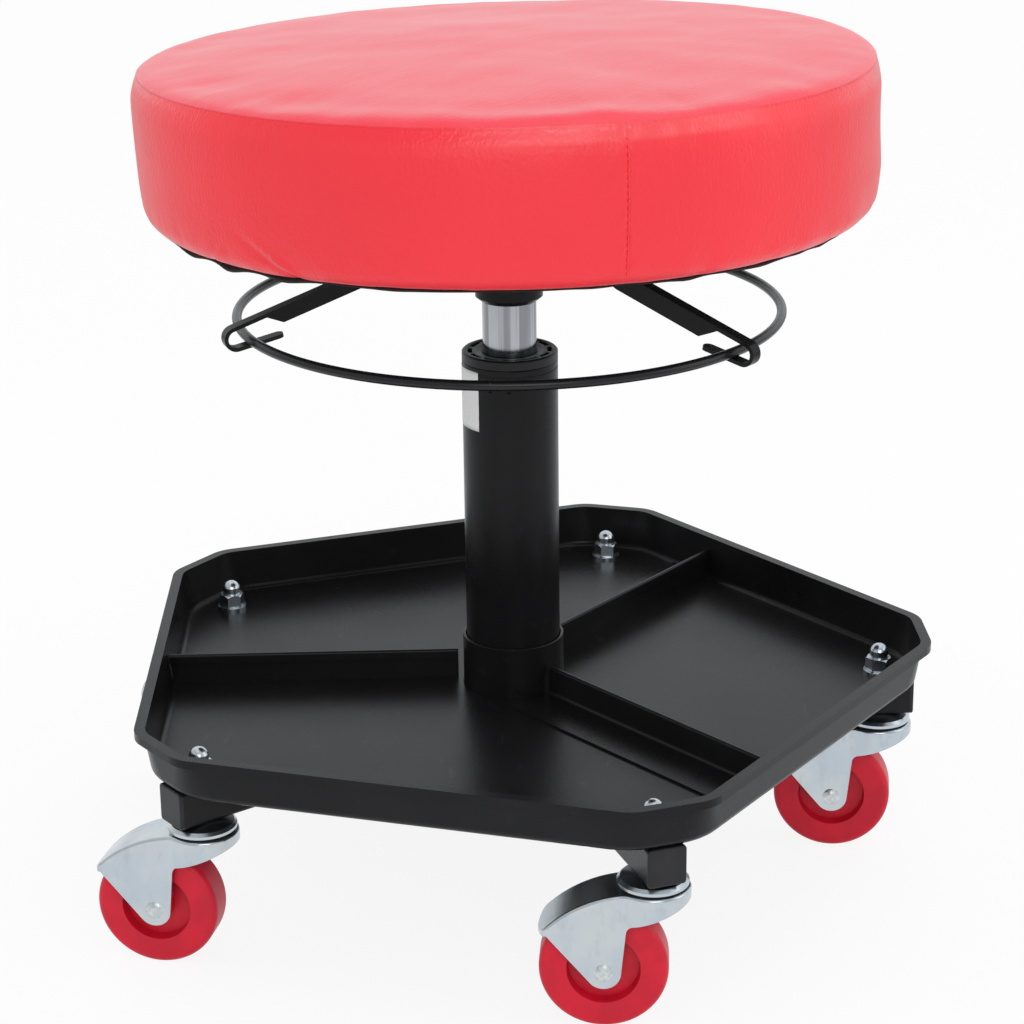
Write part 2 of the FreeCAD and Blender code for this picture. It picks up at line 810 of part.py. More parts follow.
def divider(angle, foot_side, offset):
    """Sheet with a foot on the tray floor and, on the other side, a hem folded over at the top."""
    z0 = tray_floor_top
    top = z0 + divider_height
    s = tray_sheet
    hem_out = s * 2 + divider_hem_gap
    outline = rounded_outline([
        (s - divider_foot, z0, 0),
        (s, z0, 0),
        (s, top - hem_out / 2, 0),
        (s + divider_hem_gap, top - hem_out / 2, 0),
        (s + divider_hem_gap, top - divider_hem, 0),
        (hem_out, top - divider_hem, 0),
        (hem_out, top, hem_out / 2 - running_play),
        (0, top, hem_out / 2 - running_play),
        (0, z0 + s, divider_bend_radius),
        (s - divider_foot, z0 + s, 0)], lambda p: vec(divider_inner_radius, foot_side * (s / 2 - p.x + offset), p.y))
    strip = solid_from(outline, vec(tray_corner_reach, 0, 0))
    room = tray_form(tray_sheet + part_gap, tray_floor_top, tray_rim_top)
    room = room.makeFillet(tray_floor_radius - tray_sheet, floor_edges(room, tray_floor_top))
    hub = rod(divider_inner_radius, leg_top, tray_rim_top)
    return turned(strip, angle).common(room).cut(hub)


def washer():
    return moved(tube(washer_radius, stem_radius + stem_hole_play, tray_floor_top, tray_floor_top + washer_sheet),
                 caster_circle_radius, 0, 0)


def cap_nut():
    z0 = tray_floor_top + washer_sheet
    hex_top = z0 + nut_hex_height
    neck_top = hex_top + nut_neck_height
    cap_top = neck_top + nut_cap_height
    dome_top = cap_top + nut_dome_height
    corner = nut_across_flats / 2 / math.cos(math.pi / 6)
    prism = turned(hexagon(nut_across_flats, z0, hex_top), nut_twist_angle)
    chamfer = spun_points([(0, z0), (nut_across_flats / 2, z0), (corner, z0 + (corner - nut_across_flats / 2) / 2),
                           (corner, hex_top - (corner - nut_across_flats / 2)),
                           (nut_across_flats / 2, hex_top), (0, hex_top)])
    prism = prism.common(chamfer)
    dome = spun([
        line(vec(0, 0, hex_top), vec(nut_neck_radius, 0, hex_top)),
        line(vec(nut_neck_radius, 0, hex_top), vec(nut_neck_radius, 0, neck_top)),
        line(vec(nut_neck_radius, 0, neck_top), vec(nut_cap_radius, 0, neck_top)),
        line(vec(nut_cap_radius, 0, neck_top), vec(nut_cap_radius, 0, cap_top)),
        dome_arc(nut_cap_radius, cap_top, dome_top),
        line(vec(0, 0, dome_top), vec(0, 0, hex_top))])
    bore = rod(stem_radius, z0 - overrun, z0 + nut_bore_depth)
    return moved(fuse([prism, dome]).cut(bore), caster_circle_radius, 0, 0)


# Gas lift: bearing, rod, piston, cylinder and button

def thrust_bearing():
    inner = rod_tail_radius + part_gap
    low = tube(bearing_radius, inner, bearing_bottom, bearing_bottom + bearing_washer)
    high = tube(bearing_radius, inner, bearing_top - bearing_washer, bearing_top)
    mid_z = bearing_bottom + bearing_washer + bearing_ball / 2
    pitch = (bearing_radius + inner) / 2
    cage = tube(pitch + bearing_ball / 4, pitch - bearing_ball / 4, mid_z - bearing_ball / 4, mid_z + bearing_ball / 4)
    balls = []
    for i in range(bearing_balls):
        ball = Part.makeSphere(bearing_ball / 2, vec(pitch, 0, mid_z))
        balls.append(turned(ball, i * full_turn / bearing_balls))
    return fuse([cage] + balls), low, high


def piston_rod():
    shoulder = bearing_top + part_gap
    groove_z = column_bottom - part_gap - clip_sheet
    return spun_points([
        (0, rod_bottom),
        (rod_tail_radius, rod_bottom),
        (rod_tail_radius, groove_z),
        (rod_tail_radius - rod_groove_depth, groove_z),
        (rod_tail_radius - rod_groove_depth, groove_z + clip_sheet),
        (rod_tail_radius, groove_z + clip_sheet),
        (rod_tail_radius, shoulder),
        (rod_collar_radius, shoulder),
        (rod_collar_radius, shoulder + rod_collar_height),
        (rod_stop_radius, shoulder + rod_collar_height),
        (rod_stop_radius, cylinder_bottom - part_gap),
        (rod_radius, cylinder_bottom - part_gap),
        (rod_radius, rod_top),
        (0, rod_top)])


def rod_clip():
    z0 = column_bottom - part_gap - clip_sheet
    ring = tube(clip_radius, rod_tail_radius - rod_groove_depth, z0, z0 + clip_sheet)
    mouth = block(0, clip_radius + overrun, -clip_mouth / 2, clip_mouth / 2, z0 - overrun, z0 + clip_sheet + overrun)
    return ring.cut(mouth)


def piston():
    return rod(cylinder_radius - cylinder_wall - running_play, rod_top, rod_top + piston_height)


def gas_cylinder():
    outer = spun_points([(0, cylinder_bottom), (cylinder_radius, cylinder_bottom), (cylinder_radius, socket_bottom),
                         (cylinder_radius - cone_inset, cylinder_top), (0, cylinder_top)])
    chamber = rod(cylinder_radius - cylinder_wall, cylinder_bottom + cylinder_gland, cylinder_top - cylinder_head)
    gland = rod(rod_radius + running_play, cylinder_bottom - overrun, cylinder_bottom + cylinder_gland)
    pocket = rod(button_radius + running_play, cylinder_top - button_depth, cylinder_top + overrun)
    return cut(outer, [chamber, gland, pocket])


def valve_button():
    body = rod(button_radius, cylinder_top - button_depth + button_stand, button_top)
    top = [e for e in body.Edges if e.BoundBox.ZMin > button_top - button_stand / 4]
    return body.makeFillet(button_radius / 6, top)


# Seat mount, release spider and ring

def arm_line(radius):
    """Height of the arm's top edge at a radius from the axis."""
    return spider_top - arm_slope_share * (radius - spider_hub_radius)


def arm_angle(i):
    return first_arm_angle + i * full_turn / arm_count


def seat_mount():
    socket = spun_points([
        (cylinder_radius + running_play, socket_bottom),
        (socket_radius - socket_wall * socket_bevel_share, socket_bottom),
        (socket_radius, socket_bottom + socket_bevel_up),
        (socket_radius, socket_top),
        (cylinder_radius + running_play - cone_inset * socket_length / (socket_length + cone_stand), socket_top)])
    cup = rod(cup_radius, cup_bottom, mount_top)
    cup = cup.makeFillet(cup_bend_radius + mount_sheet, [e for e in cup.Edges if e.BoundBox.ZMax < cup_bottom + mount_sheet])
    room = rod(cup_radius - mount_sheet, cup_bottom + mount_sheet, mount_top + overrun)
    room = room.makeFillet(cup_bend_radius, [e for e in room.Edges if e.BoundBox.ZMax < cup_bottom + mount_sheet * 2])
    h = flange_half
    r = flange_corner_radius
    plate = solid_from(rounded_outline([(-h, -h, r), (h, -h, r), (h, h, r), (-h, h, r)],
                                       flat(mount_top - mount_sheet)), vec(0, 0, mount_sheet))
    body = fuse([cup, plate])
    bore = rod((cylinder_radius + socket_radius) / 2, cup_bottom - overrun, cup_bottom + overrun)
    slots = []
    slot_top = arm_line(cup_radius - mount_sheet) + part_gap
    for i in range(arm_count):
        slot = block(cup_radius - mount_sheet - cup_bend_radius, cup_radius + overrun, -arm_slot_width / 2,
                     arm_slot_width / 2, cup_bottom + mount_sheet, slot_top)
        slots.append(turned(slot, arm_angle(i)))
    holes = [rod(bolt_radius + part_gap, mount_top - mount_sheet - overrun, mount_top + overrun, x, y)
             for x, y in bolt_places()]
    return fuse([cut(body, [room, bore] + slots + holes), socket])


def bolt_places():
    s = bolt_spacing / 2
    return [(-s, -s), (s, -s), (s, s), (-s, s)]


def mount_bolts():
    solids = []
    barrel_top = board_top - part_gap
    for x, y in bolt_places():
        head_top = mount_top - mount_sheet
        head = hexagon(bolt_head_across, head_top - bolt_head_height, head_top, x, y)
        shank = rod(bolt_radius, head_top, barrel_top - tee_nut_sheet, x, y)
        solids.append(fuse([head, shank]))
        barrel = rod(tee_barrel_radius, cloth_top + board_thickness / 3, barrel_top, x, y)
        plate = rod(tee_nut_radius, barrel_top - tee_nut_sheet, barrel_top, x, y)
        hole = rod(bolt_radius, cloth_top, barrel_top - tee_nut_sheet, x, y)
        solids.append(fuse([barrel, plate]).cut(hole))
    return Part.Compound(solids)


def spider_arm():
    """One arm along +X: an upright web under a flat strip that ends in the ring's hook."""
    cosine = 1 / math.hypot(1, arm_slope_share)
    sine = arm_slope_share * cosine
    back = math.hypot(1, hook_return_slope_share)
    back_cos = 1 / back
    back_sin = hook_return_slope_share * back_cos
    half = arm_sheet / 2
    centre_r = ring_radius + hook_overhang
    touch_r = centre_r + hook_radius * sine
    centre_z = arm_line(touch_r) - half / cosine - hook_radius * cosine

    def on_curl(radius, angle):
        return vec(centre_r + radius * math.cos(angle), 0, centre_z + radius * math.sin(angle))

    start = math.pi / 2 - math.atan(arm_slope_share)
    end = -math.pi / 2 - math.atan(hook_return_slope_share)
    middle = (start + end) / 2
    outer = hook_radius + half
    inner = hook_radius - half
    low_outer = on_curl(outer, end)
    low_inner = on_curl(inner, end)
    run = (low_outer.x - hook_return_reach) / back_cos
    tip_outer = low_outer + vec(-back_cos, 0, back_sin) * run
    tip_inner = low_inner + vec(-back_cos, 0, back_sin) * run
    inside_r = spider_hub_radius - arm_sheet
    strip = solid_from([
        line(vec(inside_r, 0, arm_line(inside_r)), on_curl(outer, start)),
        arc(on_curl(outer, start), on_curl(outer, middle), low_outer),
        line(low_outer, tip_outer),
        line(tip_outer, tip_inner),
        line(tip_inner, low_inner),
        arc(low_inner, on_curl(inner, middle), on_curl(inner, start)),
        line(on_curl(inner, start), vec(inside_r, 0, arm_line(inside_r) - arm_sheet / cosine)),
        line(vec(inside_r, 0, arm_line(inside_r) - arm_sheet / cosine), vec(inside_r, 0, arm_line(inside_r)))],
        vec(0, arm_flange, 0))
    strip = moved(strip, 0, -arm_flange / 2, 0)
    ends = [e for e in strip.Edges
            if e.BoundBox.XMax < hook_return_reach + arm_sheet and e.BoundBox.ZMax < tip_inner.z + running_play
            and e.BoundBox.YLength < running_play]
    strip = strip.makeFillet(arm_flange / 2 - running_play, ends)
    slot_r = cup_radius
    wide_r = slot_r + arm_taper_length
    cut_r = arm_web_reach + arm_cut_run
    web_points = [
        (spider_hub_radius - arm_sheet, arm_line(spider_hub_radius), 0),
        (spider_hub_radius, arm_line(spider_hub_radius), 0),
        (cut_r, arm_line(cut_r), 0),
        (cut_r, arm_line(cut_r) - arm_cut_height, 0),
        (arm_web_reach, arm_line(arm_web_reach) - arm_web_height, arm_sheet / 2),
        (wide_r, arm_line(wide_r) - arm_web_height, arm_web_height),
        (slot_r, arm_line(slot_r) - arm_root_height, arm_root_height),
        (spider_hub_radius - arm_sheet, spider_bottom, 0)]
    web = solid_from(rounded_outline(web_points, upright(-arm_flange / 2)), vec(0, arm_sheet, 0))
    return fuse([strip, web])


def release_spider():
    hub = rod(spider_hub_radius, spider_bottom, spider_top)
    arm = spider_arm()
    over = rod(spider_hub_radius + overrun, spider_top, spider_top + overrun)
    arms = [turned(arm, arm_angle(i)).cut(over) for i in range(arm_count)]
    return fuse([hub] + arms)


def ring_height():
    """The ring lies in its hooks, on the strips that return beneath it."""
    cosine = 1 / math.hypot(1, arm_slope_share)
    sine = arm_slope_share * cosine
    back = math.hypot(1, hook_return_slope_share)
    back_sin = hook_return_slope_share / back
    half = arm_sheet / 2
    centre_r = ring_radius + hook_overhang
    centre_z = arm_line(centre_r + hook_radius * sine) - half / cosine - hook_radius * cosine
    inner = hook_radius - half
    low_r = centre_r - inner * back_sin
    low_z = centre_z - inner / back
    surface = low_z + (low_r - ring_radius) * hook_return_slope_share
    return surface + (ring_rod / 2) * back + ring_rest_gap


def release_ring():
    return Part.makeTorus(ring_radius, ring_rod / 2, vec(0, 0, ring_height()), Z)


# Seat

def seat_board():
    disc = rod(board_radius, cloth_top, board_top)
    disc = disc.makeFillet(board_edge_radius, [e for e in disc.Edges if e.BoundBox.ZMin > board_top - board_edge_radius / 4])
    holes = []
    for x, y in bolt_places():
        holes.append(rod(tee_barrel_radius + running_play, cloth_top - overrun, board_top + overrun, x, y))
        holes.append(rod(tee_nut_radius + part_gap, board_top - tee_nut_sheet - part_gap, board_top + overrun, x, y))
    return cut(disc, holes)


def under_cover():
    disc = rod(cover_cloth_radius, mount_top, cloth_top)
    holes = [rod(bolt_radius + part_gap, mount_top - overrun, cloth_top + overrun, x, y) for x, y in bolt_places()]
    return cut(disc, holes)


def seat_profile(inset):
    """Outline of the padding in the XZ plane: heel, belly, seam, shoulder and crown."""
    z0 = cloth_top
    seam_radius = seat_radius - seat_seam_inset
    foot = vec(seat_radius - seat_foot_inset, 0, z0 + inset)
    heel = vec(seat_radius - seat_heel_inset - inset, 0, z0 + seat_heel_height)
    belly = vec(seat_radius - inset, 0, z0 + seat_side_height * seat_belly_share)
    low_seam = vec(seam_radius - inset, 0, seam_z - seam_height / 2)
    seam = vec(seam_radius - inset - seam_depth, 0, seam_z)
    high_seam = vec(seam_radius - inset, 0, seam_z + seam_height / 2)
    shoulder = vec(seat_radius - seat_shoulder_inset - inset, 0, seam_z + seam_height / 2 + seat_shoulder_height - inset)
    crown = vec(0, 0, seam_z + seam_height / 2 + seat_shoulder_height + seat_crown_height - inset)
    heel_mid = vec(foot.x + (heel.x - foot.x) * math.sin(math.pi / 4), 0,
                   heel.z - (heel.z - foot.z) * math.sin(math.pi / 4))
    roll_mid = vec(shoulder.x + (high_seam.x - shoulder.x) * math.sin(math.pi / 4), 0,
                   high_seam.z + (shoulder.z - high_seam.z) * math.sin(math.pi / 4))
    pocket_top = board_top + inset
    pocket_side = board_radius + part_gap
    return [
        arc(foot, heel_mid, heel),
        arc(heel, belly, low_seam),
        line(low_seam, seam),
        line(seam, high_seam),
        arc(high_seam, roll_mid, shoulder),
        dome_arc(shoulder.x, shoulder.z, crown.z),
        line(crown, vec(0, 0, pocket_top)),
        line(vec(0, 0, pocket_top), vec(pocket_side, 0, pocket_top)),
        line(vec(pocket_side, 0, pocket_top), vec(pocket_side, 0, foot.z)),
        line(vec(pocket_side, 0, foot.z), foot)]


def seat_foam():
    return spun(seat_profile(cover_sheet + part_gap / 2))


def seat_cover():
    """The vinyl skin: what lies between the outer form and the foam, with the band's stitched seam."""
    z0 = cloth_top
    room = spun(seat_profile(cover_sheet))
    pocket = rod(board_radius + part_gap, z0 - overrun, board_top + cover_sheet + overrun)
    skin = spun(seat_profile(0)).cut(room).cut(pocket)
    band = seat_profile(0)[1]
    deep = band.copy()
    deep.translate(vec(-cover_sheet / 2, 0, 0))
    top_edge = line(band.Vertexes[-1].Point, deep.Vertexes[-1].Point)
    low_edge = line(deep.Vertexes[0].Point, band.Vertexes[0].Point)
    groove = Part.Face(Part.Wire(Part.__sortEdges__([band, top_edge, deep, low_edge]))).revolve(
        O, Z, side_seam_width_angle)
    return skin.cut(turned(groove, side_seam_angle))


def build():
    os.makedirs("parts", exist_ok=True)
    pieces = {
        "hub_collar": hub_collar(),
        "end_caps": around_legs(end_cap()),
        "tray": tray(),
        "divider_left": divider(divider_left_angle, -1, divider_left_offset),
        "divider_rear": divider(divider_rear_angle, 1, divider_rear_offset),
        "divider_front": divider(divider_front_angle, -1, 0),
        "cap_nuts": around_legs(cap_nut()),
        "nut_washers": around_legs(washer()),
        "column_tube": column_tube(),
        "guide_bush": guide_bush(),
        "column_foot": column_foot(),
        "thrust_bearing": Part.Compound(list(thrust_bearing())),
        "piston_rod": piston_rod(),
        "piston": piston(),
        "rod_clip": rod_clip(),
        "gas_cylinder": gas_cylinder(),
        "valve_button": valve_button(),
        "seat_mount": seat_mount(),
        "mount_bolts": mount_bolts(),
        "seat_board": seat_board(),
        "seat_foam": seat_foam(),
        "seat_cover": seat_cover(),
        "under_cover": under_cover(),
        "release_spider": release_spider(),
        "release_ring": release_ring()}
    caster = {
        "caster_stem": caster_stem(),
        "race_seal": race_seal(),
        "caster_fork": caster_fork(),
        "axle_rivet": axle_rivet(),
        "wheel_bush": wheel_bush(),
        "wheel": wheel()}
    one_leg = leg()
    for k in range(leg_count):
        number = "_" + str(k + 1)
        pieces["leg" + number] = turned(one_leg, leg_angle(k))
        for name, shape in caster.items():
            pieces[name + number] = on_caster(shape, k)
    for name, shape in pieces.items():
        save(name, shape)
    print("pieces", len(pieces))


build()
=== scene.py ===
import bpy, json, math
from mathutils import Matrix, Vector, noise


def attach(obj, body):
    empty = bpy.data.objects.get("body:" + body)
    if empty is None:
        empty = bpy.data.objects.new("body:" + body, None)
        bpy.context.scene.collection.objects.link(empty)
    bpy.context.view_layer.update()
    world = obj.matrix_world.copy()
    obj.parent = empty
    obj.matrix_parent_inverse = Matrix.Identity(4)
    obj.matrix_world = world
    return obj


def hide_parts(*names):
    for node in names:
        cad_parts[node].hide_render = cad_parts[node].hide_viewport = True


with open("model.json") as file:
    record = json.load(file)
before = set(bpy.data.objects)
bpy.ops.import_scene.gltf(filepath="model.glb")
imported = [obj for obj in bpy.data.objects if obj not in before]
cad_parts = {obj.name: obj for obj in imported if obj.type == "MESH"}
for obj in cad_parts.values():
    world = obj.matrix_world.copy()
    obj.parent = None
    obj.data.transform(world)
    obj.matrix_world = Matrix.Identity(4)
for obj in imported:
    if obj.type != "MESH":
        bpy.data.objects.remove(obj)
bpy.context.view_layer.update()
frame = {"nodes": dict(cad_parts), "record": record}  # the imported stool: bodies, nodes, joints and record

mm = 0.001
nodes = frame["nodes"]
bandSeamAngle = 285.2  # where the ends of the seat's side band are sewn together, in degrees


# Shader sums: a Value is one shader socket that takes part in Python expressions

class Value:
    def __init__(self, finish, socket):
        self.finish, self.socket = finish, socket

    def step(self, operation, first, second=0.0):
        return self.finish.node("Math", {"operation": operation}, {0: first, 1: second})

    def __add__(self, other):
        return self.step("ADD", self, other)

    def __radd__(self, other):
        return self.step("ADD", other, self)

    def __sub__(self, other):
        return self.step("SUBTRACT", self, other)

    def __rsub__(self, other):
        return self.step("SUBTRACT", other, self)

    def __mul__(self, other):
        return self.step("MULTIPLY", self, other)

    def __rmul__(self, other):
        return self.step("MULTIPLY", other, self)

    def __truediv__(self, other):
        return self.step("DIVIDE", self, other)

    def __rtruediv__(self, other):
        return self.step("DIVIDE", other, self)

    def __pow__(self, other):
        return self.step("POWER", self, other)

    def between(self, low, high):  # 0 at low, 1 at high, smooth between
        return self.finish.node("MapRange", {"interpolation_type": "SMOOTHSTEP"}, {0: self, 1: low, 2: high})


class Shading:  # a node tree, of a material or the world
    def __init__(self, owner):
        owner.use_nodes = True
        self.tree = owner.node_tree

    def put(self, socket, value):
        if isinstance(value, Value):
            self.tree.links.new(value.socket, socket)
        elif isinstance(value, tuple) and len(value) == 3 and socket.type == "RGBA":
            socket.default_value = (*value, 1.0)
        else:
            socket.default_value = value

    def node(self, kind, settings=None, inputs=None, output=0):
        made = self.tree.nodes.new("ShaderNode" + kind)
        for key, value in (settings or {}).items():
            setattr(made, key, value)
        for key, value in (inputs or {}).items():
            self.put(made.inputs[key], value)
        return Value(self, made.outputs[output])

    def axes(self, vector):
        parts = self.node("SeparateXYZ", inputs={0: vector})
        return [Value(self, socket) for socket in parts.socket.node.outputs]

    def rays(self, *names):  # Light Path's answers, 1 for a ray of that kind
        path = self.node("LightPath")
        return [Value(self, path.socket.node.outputs[name]) for name in names]

    def mixed(self, share, first, second):
        return self.node("Mix", {"data_type": "RGBA"}, {0: share, 6: first, 7: second}, output=2)


class Finish(Shading):
    def __init__(self, name, colour, roughness, **fixed):
        self.material = bpy.data.materials.new(name)
        super().__init__(self.material)
        self.shader = self.tree.nodes["Principled BSDF"]
        self.put(self.shader.inputs["Base Color"], colour)
        self.put(self.shader.inputs["Roughness"], roughness)
        for key, value in fixed.items():
            self.put(self.shader.inputs[key.replace("_", " ")], value)
        self.spot = self.node("TexCoord", output="Object")

    def stretched(self, x, y, z):
        return self.node("Mapping", inputs={"Vector": self.spot, "Scale": (x, y, z)})

    def slanted(self, degrees, along):  # stretched along a level direction
        return self.node("Mapping", {"vector_type": "TEXTURE"}, {
            "Vector": self.spot, "Rotation": (0.0, 0.0, math.radians(degrees)), "Scale": (along, 1.0, 1.0)})

    def cloud(self, perMetre, detail=3.0, vector=None, rough=0.5):
        return self.node("TexNoise", inputs={"Vector": vector or self.spot, "Scale": perMetre, "Detail": detail,
                                             "Roughness": rough})

    def pebbles(self, perMetre, vector=None, kind="F1"):
        return self.node("TexVoronoi", {"feature": kind}, {"Vector": vector or self.spot, "Scale": perMetre})

    def coloured(self, value):
        self.put(self.shader.inputs["Base Color"], value)

    def roughened(self, value):
        self.put(self.shader.inputs["Roughness"], value)

    def raised(self, *layers):  # each layer is (height, metres)
        normal = None
        for height, distance in layers:
            inputs = {"Height": height, "Distance": distance, "Strength": 1.0}
            if normal:
                inputs["Normal"] = normal
            normal = self.node("Bump", inputs=inputs)
        self.put(self.shader.inputs["Normal"], normal)


def tinted(colour, share):
    return tuple(min(1.0, channel * share) for channel in colour)


# Finishes, one for each material slot in the record

# painted sheen: the top and shoulder colours are paler, pinker reds than the vinyl's own colour
seatVinyl = {"colour": (0.88, 0.012, 0.028), "roughness": 0.37, "mottle": 0.07, "bandSheen": 0.12,
             "paintedTopSheen": (0.88, 0.026, 0.064), "topSheen": 0.42,
             "paintedShoulderSheen": (0.92, 0.09, 0.11), "shoulderSheen": 0.85, "shoulderHeight": (0.4308, 0.4342),
             "streakAngle": 50.0, "grainPerMetre": 760.0, "grainDepth": 0.00024, "fineDepth": 0.00005,
             "creaseDepth": 0.0005, "streakDepth": 0.0007, "hairDepth": 0.00014, "drawnDepth": 0.00014,
             "wrinkleDepth": 0.0003}


def vinylFinish():
    f = Finish("redVinyl", seatVinyl["colour"], seatVinyl["roughness"], IOR=1.55, Coat_Roughness=0.36,
               Sheen_Weight=0.2, Sheen_Roughness=0.4)
    x, y, z = f.axes(f.spot)
    broad = f.cloud(9.0, 2.0)
    mottle = f.cloud(55.0, 4.0)
    grain = f.pebbles(seatVinyl["grainPerMetre"], f.stretched(1.0, 1.0, 0.7), kind="SMOOTH_F1")
    fine = f.cloud(2600.0, 2.0)
    crease = f.cloud(34.0, 3.0, f.stretched(1.0, 1.0, 0.45))
    drawn = f.cloud(620.0, 3.0, f.stretched(1.0, 1.0, 0.12))  # the band's upright stretch marks
    wrinkle = f.cloud(360.0, 2.0, f.stretched(1.0, 1.0, 0.35), 0.5)
    streak = f.cloud(75.0, 5.0, f.slanted(seatVinyl["streakAngle"], 5.0), 0.6)  # long marks across the top panel
    hair = f.cloud(430.0, 3.0, f.slanted(seatVinyl["streakAngle"], 9.0), 0.6)
    onTop = f.axes(f.node("TexCoord", output="Normal"))[2].between(0.5, 0.85)
    seam = math.radians(bandSeamAngle)
    towardsSeam = (x * math.cos(seam) + y * math.sin(seam)) / (x * x + y * y) ** 0.5
    shoulder = z.between(*seatVinyl["shoulderHeight"]) * (1 - onTop)  # the slope just under the top seam
    pulledSheenStrip = shoulder * towardsSeam.between(0.90, 0.99)  # the part that the closing seam pulls tight, where sheen is also painted into the colour
    body = f.mixed(broad.between(0.3, 0.7), tinted(seatVinyl["colour"], 1 - seatVinyl["mottle"]),
                   seatVinyl["colour"])
    body = f.mixed(mottle.between(0.45, 0.8) * 0.3, body, tinted(seatVinyl["colour"], 0.94))
    # painted sheen: the pulled strip under the top seam is mixed towards a paler pink, patchy with the mottle
    body = f.mixed(pulledSheenStrip * (0.3 + 0.35 * mottle.between(0.4, 0.7)), body, seatVinyl["paintedShoulderSheen"])
    # painted sheen: faces of the top panel that look upwards take a paler, cooler red, streaked by the hair marks
    f.coloured(f.mixed(onTop * (0.6 + 0.3 * hair), body, seatVinyl["paintedTopSheen"]))
    f.put(f.shader.inputs["Coat Weight"],
          seatVinyl["bandSheen"] + seatVinyl["topSheen"] * onTop + seatVinyl["shoulderSheen"] * pulledSheenStrip)
    f.roughened(seatVinyl["roughness"] + 0.09 * mottle + 0.07 * onTop - 0.15 * shoulder + 0.05 * (1 - grain)
                + onTop * (0.10 * (streak - 0.5) + 0.12 * (hair - 0.5)))
    f.raised((crease, seatVinyl["creaseDepth"]), (streak * onTop, seatVinyl["streakDepth"]),
             (hair * onTop, seatVinyl["hairDepth"]), (drawn * (1 - onTop), seatVinyl["drawnDepth"]),
             (wrinkle * pulledSheenStrip, seatVinyl["wrinkleDepth"]), (grain, seatVinyl["grainDepth"]),
             (fine, seatVinyl["fineDepth"]))
    return f


blackPaint = {"colour": (0.0062, 0.0062, 0.0070), "scuffed": (0.03, 0.03, 0.033), "roughness": 0.25,
              "scuffing": 0.16, "peelDepth": 0.00005, "speckDepth": 0.000015}


def paintFinish():
    f = Finish("blackPaint", blackPaint["colour"], blackPaint["roughness"], Specular_IOR_Level=0.2)
    peel = f.cloud(520.0, 2.0)
    speck = f.cloud(2400.0, 2.0)
    haze = f.cloud(16.0, 3.0).between(0.35, 0.75)
    scuff = f.cloud(130.0, 5.0, f.stretched(1.0, 0.25, 1.0), 0.62).between(0.62, 0.70)
    grey = f.mixed(haze, blackPaint["colour"], tinted(blackPaint["colour"], 1.5))
    f.coloured(f.mixed(scuff * blackPaint["scuffing"], grey, blackPaint["scuffed"]))
    f.roughened(blackPaint["roughness"] + 0.05 * haze + 0.04 * speck - 0.04 * scuff)
    f.raised((peel, blackPaint["peelDepth"]), (speck, blackPaint["speckDepth"]))
    return f


ringPaint = {"thin": (0.006, 0.006, 0.007), "thick": (0.012, 0.012, 0.014), "chipped": (0.06, 0.06, 0.063),
             "roughness": 0.22, "peelDepth": 0.00004}


def rodFinish():
    f = Finish("blackRodPaint", ringPaint["thin"], ringPaint["roughness"], Specular_IOR_Level=0.36)
    runs = f.cloud(60.0, 3.0)
    chips = f.cloud(420.0, 4.0).between(0.70, 0.73)
    f.coloured(f.mixed(chips * 0.4, f.mixed(runs, ringPaint["thin"], ringPaint["thick"]), ringPaint["chipped"]))
    f.roughened(ringPaint["roughness"] + 0.10 * runs + 0.2 * chips)
    f.raised((f.cloud(380.0, 2.0), ringPaint["peelDepth"]),)
    return f


zincPlate = {"colour": (0.60, 0.635, 0.655), "blue": (0.52, 0.575, 0.63), "yellow": (0.645, 0.65, 0.60),
             "darkPatch": (0.36, 0.38, 0.39), "darkPatchShare": 0.25, "roughness": 0.17, "drawnDepth": 0.000012,
             "cloudDepth": 0.00003, "spangleDepth": 0.000008}


def zincFinish():
    f = Finish("brightZinc", zincPlate["colour"], zincPlate["roughness"], Metallic=1.0)
    tone = f.cloud(38.0, 4.0)
    spangle = f.pebbles(330.0)
    drawn = f.cloud(700.0, 3.0, f.stretched(1.0, 1.0, 0.12))
    cloudy = f.cloud(160.0, 5.0, rough=0.6)
    darkPatch = f.cloud(150.0, 5.0, f.stretched(1.0, 1.0, 0.5), 0.65)
    plate = f.mixed(tone.between(0.35, 0.68), zincPlate["blue"], zincPlate["colour"])
    plate = f.mixed(f.cloud(90.0, 3.0).between(0.58, 0.74) * 0.5, plate, zincPlate["yellow"])
    # darker patches at random over the plate
    f.coloured(f.mixed(darkPatch.between(0.5, 0.72) * zincPlate["darkPatchShare"], plate, zincPlate["darkPatch"]))
    f.roughened(zincPlate["roughness"] + 0.07 * tone + 0.03 * spangle + 0.05 * cloudy)
    f.raised((drawn, zincPlate["drawnDepth"]), (cloudy, zincPlate["cloudDepth"]),
             (spangle, zincPlate["spangleDepth"]))
    return f


rivetHead = {"colour": (0.68, 0.71, 0.70), "struck": (0.57, 0.60, 0.60), "roughness": 0.30,
             "stampDepth": 0.0003, "wearDepth": 0.00004}


def rivetFinish():  # a stamped head, duller than the plate round it
    f = Finish("stampedRivet", rivetHead["colour"], rivetHead["roughness"], Metallic=1.0)
    stamp = f.cloud(520.0, 2.0)
    worn = f.cloud(1400.0, 3.0)
    f.coloured(f.mixed(stamp.between(0.4, 0.62), rivetHead["colour"], rivetHead["struck"]))
    f.roughened(rivetHead["roughness"] + 0.16 * worn)
    f.raised((stamp, rivetHead["stampDepth"]), (worn, rivetHead["wearDepth"]))
    return f


# dark and light are painted reflection: the two tones the rod's colour runs between in bands
cylinderChrome = {"dark": (0.31, 0.315, 0.34), "light": (0.57, 0.58, 0.61), "film": (0.62, 0.63, 0.65),
                  "roughness": 0.12, "bandDepth": 0.00003, "lineDepth": 0.000008, "ringDepth": 0.000006}


